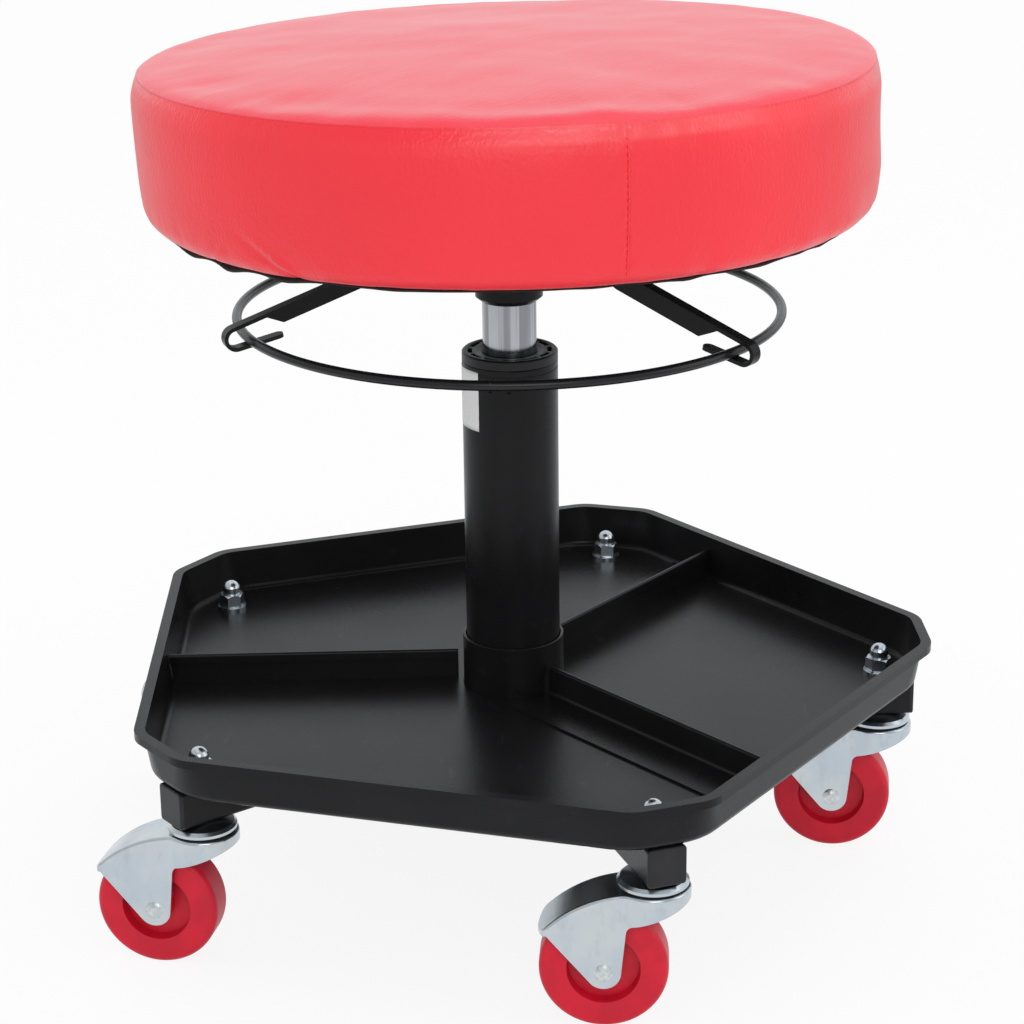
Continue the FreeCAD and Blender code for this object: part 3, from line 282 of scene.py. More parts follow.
def polishedFinish():
    f = Finish("groundChrome", cylinderChrome["light"], cylinderChrome["roughness"], Metallic=1.0)
    bands = f.cloud(210.0, 3.0, f.stretched(1.0, 1.0, 0.02))
    lines = f.cloud(1500.0, 3.0, f.stretched(1.0, 1.0, 0.03))
    rings = f.cloud(2600.0, 2.0, f.stretched(0.05, 0.05, 1.0))
    film = f.cloud(45.0, 3.0)
    # painted reflection: dark and light bands running along the rod stand in for the studio mirrored in the chrome;
    # the same bands also raise the surface very slightly
    steel = f.mixed(bands.between(0.42, 0.56), cylinderChrome["dark"], cylinderChrome["light"])
    f.coloured(f.mixed(film * 0.25, steel, cylinderChrome["film"]))
    f.roughened(cylinderChrome["roughness"] + 0.09 * lines + 0.05 * film)
    f.raised((bands, cylinderChrome["bandDepth"]), (lines, cylinderChrome["lineDepth"]),
             (rings, cylinderChrome["ringDepth"]))
    return f


liftSteel = {"colour": (0.55, 0.55, 0.56), "oiled": (0.38, 0.36, 0.33), "roughness": 0.24, "ringDepth": 0.00001}


def groundFinish():
    f = Finish("groundSteel", liftSteel["colour"], liftSteel["roughness"], Metallic=1.0)
    rings = f.cloud(2400.0, 2.0, f.stretched(0.05, 0.05, 1.0))
    oil = f.cloud(80.0, 3.0)
    f.coloured(f.mixed(oil.between(0.4, 0.7), liftSteel["colour"], liftSteel["oiled"]))
    f.roughened(liftSteel["roughness"] + 0.16 * oil)
    f.raised((rings, liftSteel["ringDepth"]),)
    return f


valveBrass = {"colour": (0.74, 0.54, 0.23), "tarnish": (0.42, 0.29, 0.12), "roughness": 0.22, "ringDepth": 0.00001}


def brassFinish():
    f = Finish("turnedBrass", valveBrass["colour"], valveBrass["roughness"], Metallic=1.0)
    rings = f.cloud(3000.0, 2.0, f.stretched(0.05, 0.05, 1.0))
    tarnish = f.cloud(300.0, 4.0)
    f.coloured(f.mixed(tarnish.between(0.45, 0.75), valveBrass["colour"], valveBrass["tarnish"]))
    f.roughened(valveBrass["roughness"] + 0.25 * tarnish)
    f.raised((rings, valveBrass["ringDepth"]),)
    return f


casterWheel = {"colour": (0.54, 0.006, 0.025), "pale": (0.66, 0.05, 0.075), "roughness": 0.36,
               "grainDepth": 0.00003, "nickDepth": 0.00012}


def wheelFinish():
    f = Finish("castUrethane", casterWheel["colour"], casterWheel["roughness"], Subsurface_Weight=0.06,
               Subsurface_Scale=0.004, Specular_IOR_Level=0.33)
    cloudy = f.cloud(70.0, 3.0)
    fine = f.cloud(1300.0, 3.0)
    nick = f.cloud(520.0, 4.0).between(0.69, 0.72)
    body = f.mixed(cloudy.between(0.35, 0.7), casterWheel["colour"], tinted(casterWheel["colour"], 1.18))
    f.coloured(f.mixed(nick * 0.45, body, casterWheel["pale"]))
    f.roughened(casterWheel["roughness"] + 0.10 * cloudy + 0.12 * nick)
    f.raised((fine, casterWheel["grainDepth"]), (nick, casterWheel["nickDepth"]))
    return f


mouldedPlastic = {"colour": (0.008, 0.008, 0.009), "worn": (0.016, 0.016, 0.018), "roughness": 0.30,
                  "sparkDepth": 0.00004}


def plasticFinish():
    f = Finish("blackPlastic", mouldedPlastic["colour"], mouldedPlastic["roughness"], Specular_IOR_Level=0.35)
    spark = f.pebbles(1500.0)
    broad = f.cloud(60.0, 3.0)
    f.coloured(f.mixed(broad.between(0.4, 0.75), mouldedPlastic["colour"], mouldedPlastic["worn"]))
    f.roughened(mouldedPlastic["roughness"] + 0.12 * spark + 0.06 * broad)
    f.raised((spark, mouldedPlastic["sparkDepth"]),)
    return f


sealRubber = {"colour": (0.010, 0.010, 0.010), "bloom": (0.03, 0.03, 0.032), "roughness": 0.52,
              "gritDepth": 0.00005}


def rubberFinish():
    f = Finish("blackRubber", sealRubber["colour"], sealRubber["roughness"])
    grit = f.cloud(1900.0, 4.0)
    bloom = f.cloud(120.0, 3.0)
    f.coloured(f.mixed(bloom.between(0.45, 0.8), sealRubber["colour"], sealRubber["bloom"]))
    f.roughened(sealRubber["roughness"] + 0.2 * grit)
    f.raised((grit, sealRubber["gritDepth"]),)
    return f


bondedCloth = {"dark": (0.006, 0.006, 0.007), "light": (0.026, 0.026, 0.028), "roughness": 0.78,
               "fibreDepth": 0.00012, "dimpleDepth": 0.00015}


def clothFinish():
    f = Finish("blackUnderCloth", bondedCloth["dark"], bondedCloth["roughness"], Sheen_Weight=0.15)
    fibres = f.cloud(900.0, 5.0, f.stretched(1.0, 0.18, 1.0), 0.7)
    cross = f.cloud(900.0, 5.0, f.stretched(0.18, 1.0, 1.0), 0.7)
    dimples = f.pebbles(620.0)
    f.coloured(f.mixed((fibres * cross).between(0.2, 0.42), bondedCloth["dark"], bondedCloth["light"]))
    f.roughened(bondedCloth["roughness"] + 0.15 * fibres)
    f.raised((fibres + cross, bondedCloth["fibreDepth"]), (dimples, bondedCloth["dimpleDepth"]))
    return f


openFoam = {"colour": (0.84, 0.75, 0.50), "cell": (0.55, 0.45, 0.26), "roughness": 0.85, "cellDepth": 0.0005}


def foamFinish():
    f = Finish("seatFoam", openFoam["colour"], openFoam["roughness"])
    cells = f.pebbles(900.0)
    f.coloured(f.mixed(cells.between(0.1, 0.5), openFoam["cell"], openFoam["colour"]))
    f.roughened(openFoam["roughness"] + 0.1 * cells)
    f.raised((cells, openFoam["cellDepth"]),)
    return f


seatPlywood = {"pale": (0.62, 0.43, 0.24), "grain": (0.38, 0.22, 0.10), "glueLine": (0.26, 0.15, 0.07),
               "pliesScale": 105.0, "roughness": 0.6, "grainDepth": 0.0002}


def plywoodFinish():
    f = Finish("plywood", seatPlywood["pale"], seatPlywood["roughness"])
    grain = f.cloud(140.0, 6.0, f.stretched(0.05, 1.0, 6.0), 0.65)
    plies = f.node("TexWave", {"wave_type": "BANDS", "bands_direction": "Z"},
                   {"Vector": f.spot, "Scale": seatPlywood["pliesScale"], "Distortion": 0.4})
    face = f.mixed(grain.between(0.35, 0.7), seatPlywood["pale"], seatPlywood["grain"])
    f.coloured(f.mixed(plies * 0.5, face, seatPlywood["glueLine"]))
    f.roughened(seatPlywood["roughness"] + 0.2 * grain)
    f.raised((grain, seatPlywood["grainDepth"]),)
    return f


labelPaper = {"colour": (0.84, 0.84, 0.84), "fibre": (0.76, 0.765, 0.77), "roughness": 0.40, "fibreDepth": 0.00003}


def paperFinish():
    f = Finish("whiteLabel", labelPaper["colour"], labelPaper["roughness"])
    fibre = f.cloud(1500.0, 4.0)
    f.coloured(f.mixed(fibre.between(0.3, 0.7), labelPaper["fibre"], labelPaper["colour"]))
    f.roughened(labelPaper["roughness"] + 0.12 * fibre)
    f.raised((fibre, labelPaper["fibreDepth"]),)
    return f


finishes = {"red_vinyl": vinylFinish(), "black_cloth": clothFinish(), "foam": foamFinish(),
            "plywood": plywoodFinish(), "black_paint": paintFinish(), "black_rod": rodFinish(),
            "black_plastic": plasticFinish(), "black_rubber": rubberFinish(), "bright_steel": polishedFinish(),
            "ground_steel": groundFinish(), "zinc": zincFinish(), "brass": brassFinish(),
            "red_wheel": wheelFinish()}
labelFinish, stampedRivet = paperFinish(), rivetFinish()
print("finishes made:", len(finishes) + 2)


# CAD nodes keep their own meshes and take the finish of their slot

def dress(thing, finish):
    thing.data.materials.clear()
    thing.data.materials.append(finish.material)


for part in frame["record"]["subparts"]:
    dress(nodes[part["node"]], stampedRivet if "rivet" in part["node"] else finishes[part["material_slot"]])
print("CAD nodes dressed:", len(nodes))


# Mesh helpers

def meshPiece(name, points, faces, finish, body, smooth=True):
    mesh = bpy.data.meshes.new(name)
    mesh.from_pydata(points, [], faces)
    mesh.validate()
    if smooth:
        mesh.shade_smooth()
    piece = bpy.data.objects.new(name, mesh)
    bpy.context.scene.collection.objects.link(piece)
    dress(piece, finish)
    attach(piece, body)
    return piece


def turned(radius, angle, height):  # a point in metres, from mm and radians about the stool's axis
    return (radius * math.cos(angle) * mm, radius * math.sin(angle) * mm, height * mm)


def arcRows(start, middle, end, count):  # points of a circle's arc through three points
    (ax, ay), (bx, by), (cx, cy) = start, middle, end
    d = 2 * (ax * (by - cy) + bx * (cy - ay) + cx * (ay - by))
    ux = ((ax * ax + ay * ay) * (by - cy) + (bx * bx + by * by) * (cy - ay) + (cx * cx + cy * cy) * (ay - by)) / d
    uy = ((ax * ax + ay * ay) * (cx - bx) + (bx * bx + by * by) * (ax - cx) + (cx * cx + cy * cy) * (bx - ax)) / d
    radius = math.hypot(ax - ux, ay - uy)
    angles = [math.atan2(y - uy, x - ux) for x, y in (start, middle, end)]
    for i in (1, 2):  # each angle is within half a turn of the one before it
        while angles[i] - angles[i - 1] > math.pi:
            angles[i] -= 2 * math.pi
        while angles[i] - angles[i - 1] < -math.pi:
            angles[i] += 2 * math.pi
    rows = []
    for i in range(count + 1):
        angle = angles[0] + (angles[2] - angles[0]) * i / count
        rows.append((ux + radius * math.cos(angle), uy + radius * math.sin(angle)))
    return rows


def spun(rows, angles):  # closed skin of rows (radius, height in mm) turned about Z, with points at both ends
    points, faces = [], []
    count = len(angles)
    for radius, height in rows[1:-1]:
        points += [turned(radius, angle, height) for angle in angles]
    for row in range(len(rows) - 3):
        for i in range(count):
            j = (i + 1) % count
            faces.append((row * count + i, row * count + j, (row + 1) * count + j, (row + 1) * count + i))
    low, high = len(points), len(points) + 1
    points += [(0, 0, rows[0][1] * mm), (0, 0, rows[-1][1] * mm)]
    last = (len(rows) - 3) * count
    for i in range(count):
        j = (i + 1) % count
        faces.append((low, j, i))
        faces.append((high, last + i, last + j))
    return points, faces


def fade(value, low, high):  # 0 below low, 1 above high, smooth between
    share = min(1.0, max(0.0, (value - low) / (high - low)))
    return share * share * (3 - 2 * share)


def apart(degrees, other):  # signed difference of two directions, in degrees
    return (degrees - other + 180) % 360 - 180


def bell(degrees, middle, wide):  # 1 in one direction, fading to 0 on both sides of it
    return math.exp(-(apart(degrees, middle) / wide) ** 2)


# Seat cushion: foam under vinyl, sewn from a top panel and a side band

cushion = {  # heights and depths in mm, directions and widths in degrees
    "step": 1.5, "fineStep": 0.72, "fineSpans": ((204.0, 242.0), (272.0, 298.0)),
    "hemHeight": 366.0, "topSeamHeight": 438.9, "topHeight": 448.0, "crownReach": 179.5, "crownRise": 5.2,
    "puff": 4.0, "puffSteps": 20, "slack": 0.003, "stiff": 6.0, "swell": 0.7, "mostSwell": 1.4,
    "gathers": 0.22, "evenReach": 9,
    "seamDepth": 0.3, "lips": 0.4, "lipGathers": 0.28, "pucker": 0.7, "hemRipple": 1.1, "hemWave": 0.7,
    "looseness": 0.9, "undulation": 1.4, "edgeWave": 0.65, "seamWave": 1.0,
    "lean": 5.2, "leanAngle": 138.0,  # the foam is lowest in this direction
    # direction, width, lowest and highest point, depth
    "hollows": ((196.0, 26.0, 350.0, 440.0, -2.3), (2.0, 30.0, 388.0, 441.0, -2.3)),
    # direction, width and size; the roll's two sizes are all round and in that direction
    "hemRises": ((330.0, 42.0, 1.3), (272.0, 26.0, 0.9)), "farRise": (28.0, 36.0, 2.8),
    "facet": (285.0, 26.0, 1.2), "roll": (277.0, 40.0, 0.9, 1.2),
    # direction of the foot, degrees of slope per mm, height, depth
    "pleats": ((237.0, -0.5, 22.0, 2.8), (219.5, 0.35, 16.0, 0.9), (297.5, 0.2, 12.0, 0.7),
               (311.0, -0.25, 14.0, 0.8), (326.5, 0.2, 14.0, 0.8), (262.0, 0.2, 9.0, 0.5))}


def cushionRows():  # the cushion's profile, from the middle of its underside to the middle of its top
    under = [(0, 376.25), (60, 376.25), (120, 376.25), (174.45, 376.25), (174.45, 370.0), (174.45, 365.2),
             (174.5, 364.4)]
    heel = arcRows((176.2, 364.2), (183.4, 366.9), (186.0, 373.5), 7)
    side = arcRows((186.0, 373.5), (187.9, 400.0), (187.6, 426.0), 18)
    slope = [(187.45, 427.8), (187.1, 429.6), (186.6, 431.5), (186.0, 433.5), (185.35, 435.5), (184.7, 437.2)]
    seam = [(184.4, 438.1), (184.22, 438.55), (183.95, 438.9), (183.97, 439.15), (184.0, 439.55)]
    roll = [(183.4, 440.2), (182.0, 441.0), (180.2, 441.75), (178.0, 442.35), (175.2, 442.85), (172.0, 443.2)]
    reach, rise, top = cushion["crownReach"], cushion["crownRise"], cushion["topHeight"]
    bend = (reach ** 2 + rise ** 2) / (2 * rise)
    crown = [(r, top - bend + math.sqrt(bend * bend - r * r)) for r in
             (167, 161, 154, 145, 135, 125, 114, 103, 92, 81, 70, 59, 48, 37, 26, 16, 8, 3)]
    return under + heel + side[1:] + slope + seam + roll + crown + [(0, top)]


def hemRise(degrees):  # the cover is drawn up a little higher on one side
    return sum(tall * bell(degrees, middle, wide) for middle, wide, tall in cushion["hemRises"])


def cushionAngles():  # closest beside the seam and where the cover is gathered
    close = (-1.7, -0.95, -0.45, -0.2, 0.0, 0.2, 0.45, 0.95, 1.7)
    angles = [bandSeamAngle + d for d in close[4:]]
    while angles[-1] < bandSeamAngle + 360 + close[0] - cushion["step"]:
        here = (angles[-1] + 0.3) % 360
        fine = any(low < here < high for low, high in cushion["fineSpans"])
        angles.append(angles[-1] + (cushion["fineStep"] if fine else cushion["step"]))
    return [math.radians(a) for a in angles + [bandSeamAngle + 360 + d for d in close[:4]]]


def evened(moves, count):  # each row's moves averaged along the row, so that few of the cloth's gathers stay
    even, reach = list(moves), cushion["evenReach"]
    for first in range(0, len(moves) - 2, count):
        row = moves[first:first + count]
        total = sum((row[k % count] for k in range(-reach, reach + 1)), Vector())
        for i in range(count):
            broad = total / (2 * reach + 1)
            even[first + i] = broad + (row[i] - broad) * cushion["gathers"]
            total += row[(i + reach + 1) % count] - row[(i - reach) % count]
    return even


def puffed(piece, held, count):  # a short cloth run swells the panels between the seams, which stay put
    group = piece.vertex_groups.new(name="sewn")
    group.add(held, 1.0, "REPLACE")
    cloth = piece.modifiers.new("puff", "CLOTH")
    cloth.settings.vertex_group_mass = "sewn"
    cloth.settings.use_pressure = True
    cloth.settings.uniform_pressure_force = cushion["puff"]
    cloth.settings.shrink_min = -cushion["slack"]
    cloth.settings.bending_stiffness = cushion["stiff"]
    cloth.settings.effector_weights.gravity = 0
    cloth.collision_settings.use_collision = False
    for step in range(cushion["puffSteps"]):
        bpy.context.scene.frame_set(step + 1)
    swollen = bpy.data.meshes.new_from_object(piece.evaluated_get(bpy.context.evaluated_depsgraph_get()))
    moves = [after.co - before.co for before, after in zip(piece.data.vertices, swollen.vertices)]
    most = cushion["mostSwell"] * mm
    for vertex, move in zip(piece.data.vertices, evened(moves, count)):
        vertex.co += move * min(cushion["swell"], most / max(move.length, 1e-9))
    piece.modifiers.remove(cloth)
    bpy.data.meshes.remove(swollen)
    bpy.context.scene.frame_set(1)


def topSeamPuckers(ring, turn, z):  # short and slanted, most of all near the closing seam
    below = cushion["topSeamHeight"] - z
    if not 0 < below < 26:
        return 0.0
    slant = noise.noise(ring * 30 + Vector((below * 0.05, 0, below * 0.06)))
    patches = fade(noise.noise(ring * 2.1 + Vector((0, 0, 4))), -0.2, 0.4)
    strong = 0.25 + 0.5 * patches + 0.9 * (1 - fade(abs(turn), 3, 22))
    return cushion["pucker"] * slant * strong * (1 - fade(below, 2, 24)) * fade(below, 0, 2)


def closingSeam(turn, z):  # a sharp fold between two gathered lips
    along = abs(turn)
    fold = cushion["seamDepth"] * (1 - fade(along, 0.0, 0.35))
    lips = cushion["lips"] * fade(along, 0.1, 0.5) * (1 - fade(along, 0.7, 4.5))
    gathers = math.sin(z * 1.75 + turn * 2) * fade(along, 0.1, 0.4) * (1 - fade(along, 0.5, 2.2))
    return lips - fold + cushion["lipGathers"] * gathers


def hemGathers(ring, z):  # small and irregular, where the cover is drawn under the board
    low = 1 - fade(z, 365, 386)
    ripple = noise.noise(ring * 15 + Vector((0, 0, 0.5)))
    small = noise.noise(ring * 38 + Vector((0, 0, 3.5)))
    return (cushion["hemRipple"] * low * (ripple + 0.45 * small),
            cushion["hemWave"] * (ripple + 0.3 * small) * low * (1 - fade(z, 366, 378)))


def hemPleats(degrees, radius, z):  # a few pleats lean up from the hem
    outward, lift = 0.0, 0.0
    for foot, slope, tall, deep in cushion["pleats"]:
        if z < cushion["hemHeight"] + tall:
            aside = math.radians(apart(degrees, foot + slope * (z - 365))) * radius
            near = 1 - fade(z, cushion["hemHeight"] + tall * 0.3, cushion["hemHeight"] + tall)
            fold = math.exp(-((aside - 2.0) / 2.0) ** 2) - 0.8 * math.exp(-((aside + 2.2) / 3.0) ** 2)
            outward += deep * fold * near
            lift += 0.5 * deep * math.exp(-(aside / 3.5) ** 2) * (1 - fade(z, 365, 372))
    return outward, lift


def topSlack(x, y, degrees, turn, ring):  # the top panel's waves, and its edge that stays full up to the seam
    radius = math.hypot(x, y)
    wave = noise.noise(Vector((x * 0.016, y * 0.016, 7.0))) + 0.5 * noise.noise(Vector((x * 0.035, y * 0.035, 2.0)))
    edge = fade(radius, 150, 172) * (1 - fade(radius, 178, 184))
    inFront = 0.25 + 0.75 * fade(-y / radius, -0.1, 0.5)
    edgeWave = cushion["edgeWave"] * noise.noise(ring * 9 + Vector((0, 0, radius * 0.01))) * inFront
    seamWave = cushion["seamWave"] * (bell(turn, -3, 6.0) - 0.9 * bell(turn, 12, 9.0))
    middle, wide, around, more = cushion["roll"]
    full = (around + more * bell(degrees, middle, wide)) * fade(radius, 158, 178) * (1 - fade(radius, 180.3, 184.2))
    return cushion["undulation"] * wave * (1 - fade(radius, 160, 182)) + (edgeWave + seamWave) * edge + full


def drawnIn(degrees, radius, z):  # how far the cover is drawn in where it is tighter, and in front under its seam
    inward = 0.0
    for middle, wide, low, high, deep in cushion["hollows"]:
        if low < z < high:
            share = math.sin(math.pi * (z - low) / (high - low))
            inward -= deep * bell(degrees, middle, wide) * share * fade(radius, 175, 181)
    if radius > 175:
        middle, wide, deep = cushion["facet"]
        inward += deep * bell(degrees, middle, wide) * fade(z, 431, 437.5) * (1 - fade(z, 440.2, 442.6))
    return inward


def unevenness(degrees, radius, z):  # the hem, the far edge and the foam are not quite level
    middle, wide, tall = cushion["farRise"]
    lift = tall * bell(degrees, middle, wide) * fade(radius, 120, 178) * fade(z, 420, 439)
    if radius > 174.6 and z < 384:
        lift += hemRise(degrees) * (1 - fade(z, 366, 384)) * fade(radius, 174.6, 177)
    sunk = 0.5 + 0.5 * math.cos(math.radians(degrees - cushion["leanAngle"]))
    return lift - cushion["lean"] * sunk ** 1.5 * fade(radius, 0, 150) * fade(z, 390, 438)


def sewn(vertex):  # the sewer's work on one point of the cushion
    x, y, z = (value / mm for value in vertex.co)
    radius = math.hypot(x, y)
    if radius < 1.0:
        return
    angle = math.atan2(y, x)
    degrees = math.degrees(angle) % 360
    turn = apart(degrees, bandSeamAngle)
    ring = Vector((math.cos(angle), math.sin(angle), 0))
    onTop = z > 439.3
    onSide = fade(radius, 170, 182) * fade(z, 366, 374) * (1 - fade(z, 440.5, 442.5))
    outward = topSeamPuckers(ring, turn, z) - drawnIn(degrees, radius, z)
    outward += cushion["looseness"] * noise.noise(ring * 3 + Vector((0, 0, z / 180))) * onSide
    lift = unevenness(degrees, radius, z)
    if onTop:
        lift += topSlack(x, y, degrees, turn, ring)
    elif abs(turn) < 6 and z > cushion["hemHeight"]:
        outward += closingSeam(turn, z) * onSide
    if radius > 175 and z < 390:
        for more, rise in (hemGathers(ring, z), hemPleats(degrees, radius, z)):
            outward += more
            lift += rise
    vertex.co.x += outward * mm * math.cos(angle)
    vertex.co.y += outward * mm * math.sin(angle)
    vertex.co.z += lift * mm


def sewnPoints(piece):  # the points that hem, board and seams hold in place
    held = []
    for vertex in piece.data.vertices:
        x, y, z = (value / mm for value in vertex.co)
        radius, turn = math.hypot(x, y), apart(math.degrees(math.atan2(y, x)), bandSeamAngle)
        atTopSeam = abs(z - cushion["topSeamHeight"]) < 0.8 and radius > 183
        atClosingSeam = abs(turn) < 0.5 and z < 439.6
        if z < 367 or (z < 377 and radius < 175) or atTopSeam or atClosingSeam:
            held.append(vertex.index)
    return held


def makeCushion():
    rows, angles = cushionRows(), cushionAngles()
    points, faces = spun(rows, angles)
    piece = meshPiece("seatCushion", points, faces, finishes["red_vinyl"], "seat")
    puffed(piece, sewnPoints(piece), len(angles))
    for vertex in piece.data.vertices:
        sewn(vertex)
    smoothing = piece.modifiers.new("smooth", "SUBSURF")
    smoothing.levels = smoothing.render_levels = 1
    finished = bpy.data.meshes.new_from_object(piece.evaluated_get(bpy.context.evaluated_depsgraph_get()))
    piece.modifiers.clear()
    piece.vertex_groups.clear()
    old = piece.data
    piece.data = finished
    bpy.data.meshes.remove(old)
    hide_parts("seat_foam", "seat_cover")
    return piece


seatCushion = makeCushion()
print("cushion made:", len(seatCushion.data.vertices), "points")


# Stitches of the band's closing seam, one short sunk thread after another, in mm

stitching = {"pitch": 3.4, "length": 2.3, "thick": 0.33, "first": 370.0, "last": 437.0, "arch": 0.35,
             "stand": 0.2, "dark": (0.86, 0.012, 0.025), "light": (0.95, 0.09, 0.11), "roughness": 0.6,
             "twistDepth": 0.00008}


def seamRadius(height):  # the cushion's own skin along the seam, read from its points
    seam = math.radians(bandSeamAngle)
    found = []
    for vertex in seatCushion.data.vertices:
        x, y, z = (value / mm for value in vertex.co)
        radius = math.hypot(x, y)
        if abs(z - height) < 4 and abs(math.atan2(y, x) % (2 * math.pi) - seam) < 0.0012 and radius > 180:
            found.append((abs(z - height), radius))
    return min(found)[1] if found else 186.0


def threadFinish():
    f = Finish("redThread", stitching["light"], stitching["roughness"])
    twist = f.cloud(2600.0, 2.0, f.stretched(1.0, 1.0, 0.4))
    f.coloured(f.mixed(twist, stitching["dark"], stitching["light"]))
    f.raised((twist, stitching["twistDepth"]),)
    return f


def makeStitches():
    points, faces = [], []
    rings, sides = 5, 6
    seam = math.radians(bandSeamAngle)
    for i in range(int((stitching["last"] - stitching["first"]) / stitching["pitch"])):
        middle = stitching["first"] + (i + 0.5) * stitching["pitch"]
        radius = seamRadius(middle)
        base = len(points)
        for step in range(rings):
            along = step / (rings - 1)
            height = middle + (along - 0.5) * stitching["length"]
            out = radius + stitching["stand"] + stitching["arch"] * math.sin(math.pi * along)
            thick = stitching["thick"] * (0.45 + 0.55 * math.sin(math.pi * along))
            for side in range(sides):
                turn = math.pi * 2 * side / sides
                points.append(turned(out + thick * math.cos(turn), seam + thick * math.sin(turn) / radius, height))
        for step in range(rings - 1):
            for side in range(sides):
                nextSide = (side + 1) % sides
                a, b = base + step * sides, base + (step + 1) * sides
                faces.append((a + side, a + nextSide, b + nextSide, b + side))
        faces.append(tuple(base + side for side in reversed(range(sides))))
        faces.append(tuple(base + (rings - 1) * sides + side for side in range(sides)))
    return meshPiece("bandStitches", points, faces, threadFinish(), "seat")


makeStitches()
print("stitches made")


# Black cloth that closes the seat's underside, stapled round its rim, in mm.
# Its loose places are given by direction and width in degrees, and depth.

underCloth = {"height": 363.95, "thick": 0.5, "rim": 177.2, "around": 300, "drop": 0.45, "wave": 0.3, "curl": 0.95,
              "staples": 30, "stapleCircle": 166.0, "stapleWide": 10.0, "stapleWire": 0.7,
              "loose": ((210.0, 4.5, 1.6), (221.4, 3.2, 2.4), (233.0, 4.0, 1.7), (252.0, 2.5, 0.6), (296.0, 2.2, 0.7),
                        (309.3, 3.4, 1.0), (326.0, 2.8, 0.9), (30.0, 5.0, 1.5), (88.0, 4.0, 1.3), (151.0, 5.0, 1.6))}


def clothDrop(radius, angle):  # how far the cloth hangs below the board, in mm
    pulledSheenStrip = 0.5 + 0.5 * math.cos(angle * underCloth["staples"])
    slack = fade(radius, 60, 120) * (1 - fade(radius, 150, 166))
    rim = fade(radius, 166, 178)
    wander = noise.noise(Vector((math.cos(angle) * 12, math.sin(angle) * 12, radius * 0.02)))
    degrees = math.degrees(angle)
    loose = sum(deep * bell(degrees, middle, wide) for middle, wide, deep in underCloth["loose"])
    curl = underCloth["curl"] * hemRise(degrees) * fade(radius, 172.5, 176.5)
    return (0.25 - curl + slack * (0.8 + 0.5 * wander) + rim * underCloth["drop"] * (0.35 + 0.65 * (1 - pulledSheenStrip))
            + rim * underCloth["wave"] * wander + fade(radius, 168, 176) * loose)


def makeUnderCloth():
    rings = [3, 20, 45, 70, 95, 110, 125, 138, 148, 156, 161, 164, 166, 168, 170, 172, 174, 175.7,
             underCloth["rim"]]
    points, faces = [], []
    count = underCloth["around"]
    for layer in (0, 1):  # the face seen from below, then the one on the board
        top = underCloth["height"] - (0 if layer else underCloth["thick"])
        for radius in rings:
            for i in range(count):
                angle = 2 * math.pi * i / count
                wander = noise.noise(Vector((math.cos(angle) * 14, math.sin(angle) * 14, 9.0)))
                points.append(turned(radius + 0.8 * wander * fade(radius, 170, 177), angle,
                                     top - clothDrop(radius, angle) * fade(radius, 94, 104)))
    ringCount = len(rings)
    for layer in (0, 1):
        base = layer * ringCount * count
        for row in range(ringCount - 1):
            for i in range(count):
                j = (i + 1) % count
                quad = (base + row * count + i, base + row * count + j, base + (row + 1) * count + j,
                        base + (row + 1) * count + i)
                faces.append(quad if layer == 0 else quad[::-1])
    for row in (0, ringCount - 1):
        for i in range(count):
            j = (i + 1) % count
            a, b = row * count, ringCount * count + row * count
            quad = (a + i, b + i, b + j, a + j)
            faces.append(quad if row else quad[::-1])
    piece = meshPiece("underCloth", points, faces, finishes["black_cloth"], "seat")
    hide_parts("under_cover")
    return piece


def makeStaples():  # flat wires that lean a little, each with a bevelled underside
    points, faces = [], []
    for k in range(underCloth["staples"]):
        angle = 2 * math.pi * k / underCloth["staples"]
        radius = underCloth["stapleCircle"]
        z = underCloth["height"] - clothDrop(radius, angle) - underCloth["thick"]
        half, wire = underCloth["stapleWide"] / 2, underCloth["stapleWire"] / 2
        lean = 0.25 * math.sin(k * 2.4)
        base = len(points)
        for end in (-1, 1):
            for across, down in ((-wire, 0.15), (wire, 0.15), (wire * 0.7, -wire * 2), (-wire * 0.7, -wire * 2)):
                along = end * half
                points.append(turned(radius + across + along * lean * 0.2, angle + along / radius, z + down))
        for side in range(4):
            n = (side + 1) % 4
            faces.append((base + side, base + n, base + 4 + n, base + 4 + side))
        faces.append((base + 3, base + 2, base + 1, base))
        faces.append((base + 4, base + 5, base + 6, base + 7))
    return meshPiece("clothStaples", points, faces, finishes["zinc"], "seat", smooth=False)


makeUnderCloth()
makeStaples()
print("underside closed")


# A blank label on the column, a curved slip of white paper: sides in degrees, the rest in mm

columnLabel = {"low": 248.0, "high": 279.7, "left": 131.0, "right": 228.0, "radius": 25.06, "thick": 0.12,
               "curl": 0.35}


def makeLabel():
    points, faces = [], []
    rows, columns = 14, 40
    turn, tall = columnLabel["right"] - columnLabel["left"], columnLabel["high"] - columnLabel["low"]
    for layer in (0, 1):
        for row in range(rows + 1):
            for i in range(columns + 1):
                lifted = columnLabel["curl"] * fade(i, columns - 2, columns) * fade(row, rows - 3, rows)
                points.append(turned(columnLabel["radius"] + layer * columnLabel["thick"] + lifted,
                                     math.radians(columnLabel["left"] + turn * i / columns),
                                     columnLabel["low"] + tall * row / rows))
    size = (rows + 1) * (columns + 1)
    for layer in (0, 1):
        for row in range(rows):
            for i in range(columns):
                a = layer * size + row * (columns + 1) + i
                quad = (a, a + 1, a + columns + 2, a + columns + 1)
                faces.append(quad if layer else quad[::-1])
    border = ([i for i in range(columns + 1)]
              + [row * (columns + 1) + columns for row in range(1, rows + 1)]
              + [rows * (columns + 1) + i for i in range(columns - 1, -1, -1)]
              + [row * (columns + 1) for row in range(rows - 1, 0, -1)])
    for i, a in enumerate(border):
        b = border[(i + 1) % len(border)]
        faces.append((a, b, b + size, a + size))
    return meshPiece("columnLabel", points, faces, labelFinish, "base")


makeLabel()
print("label placed")


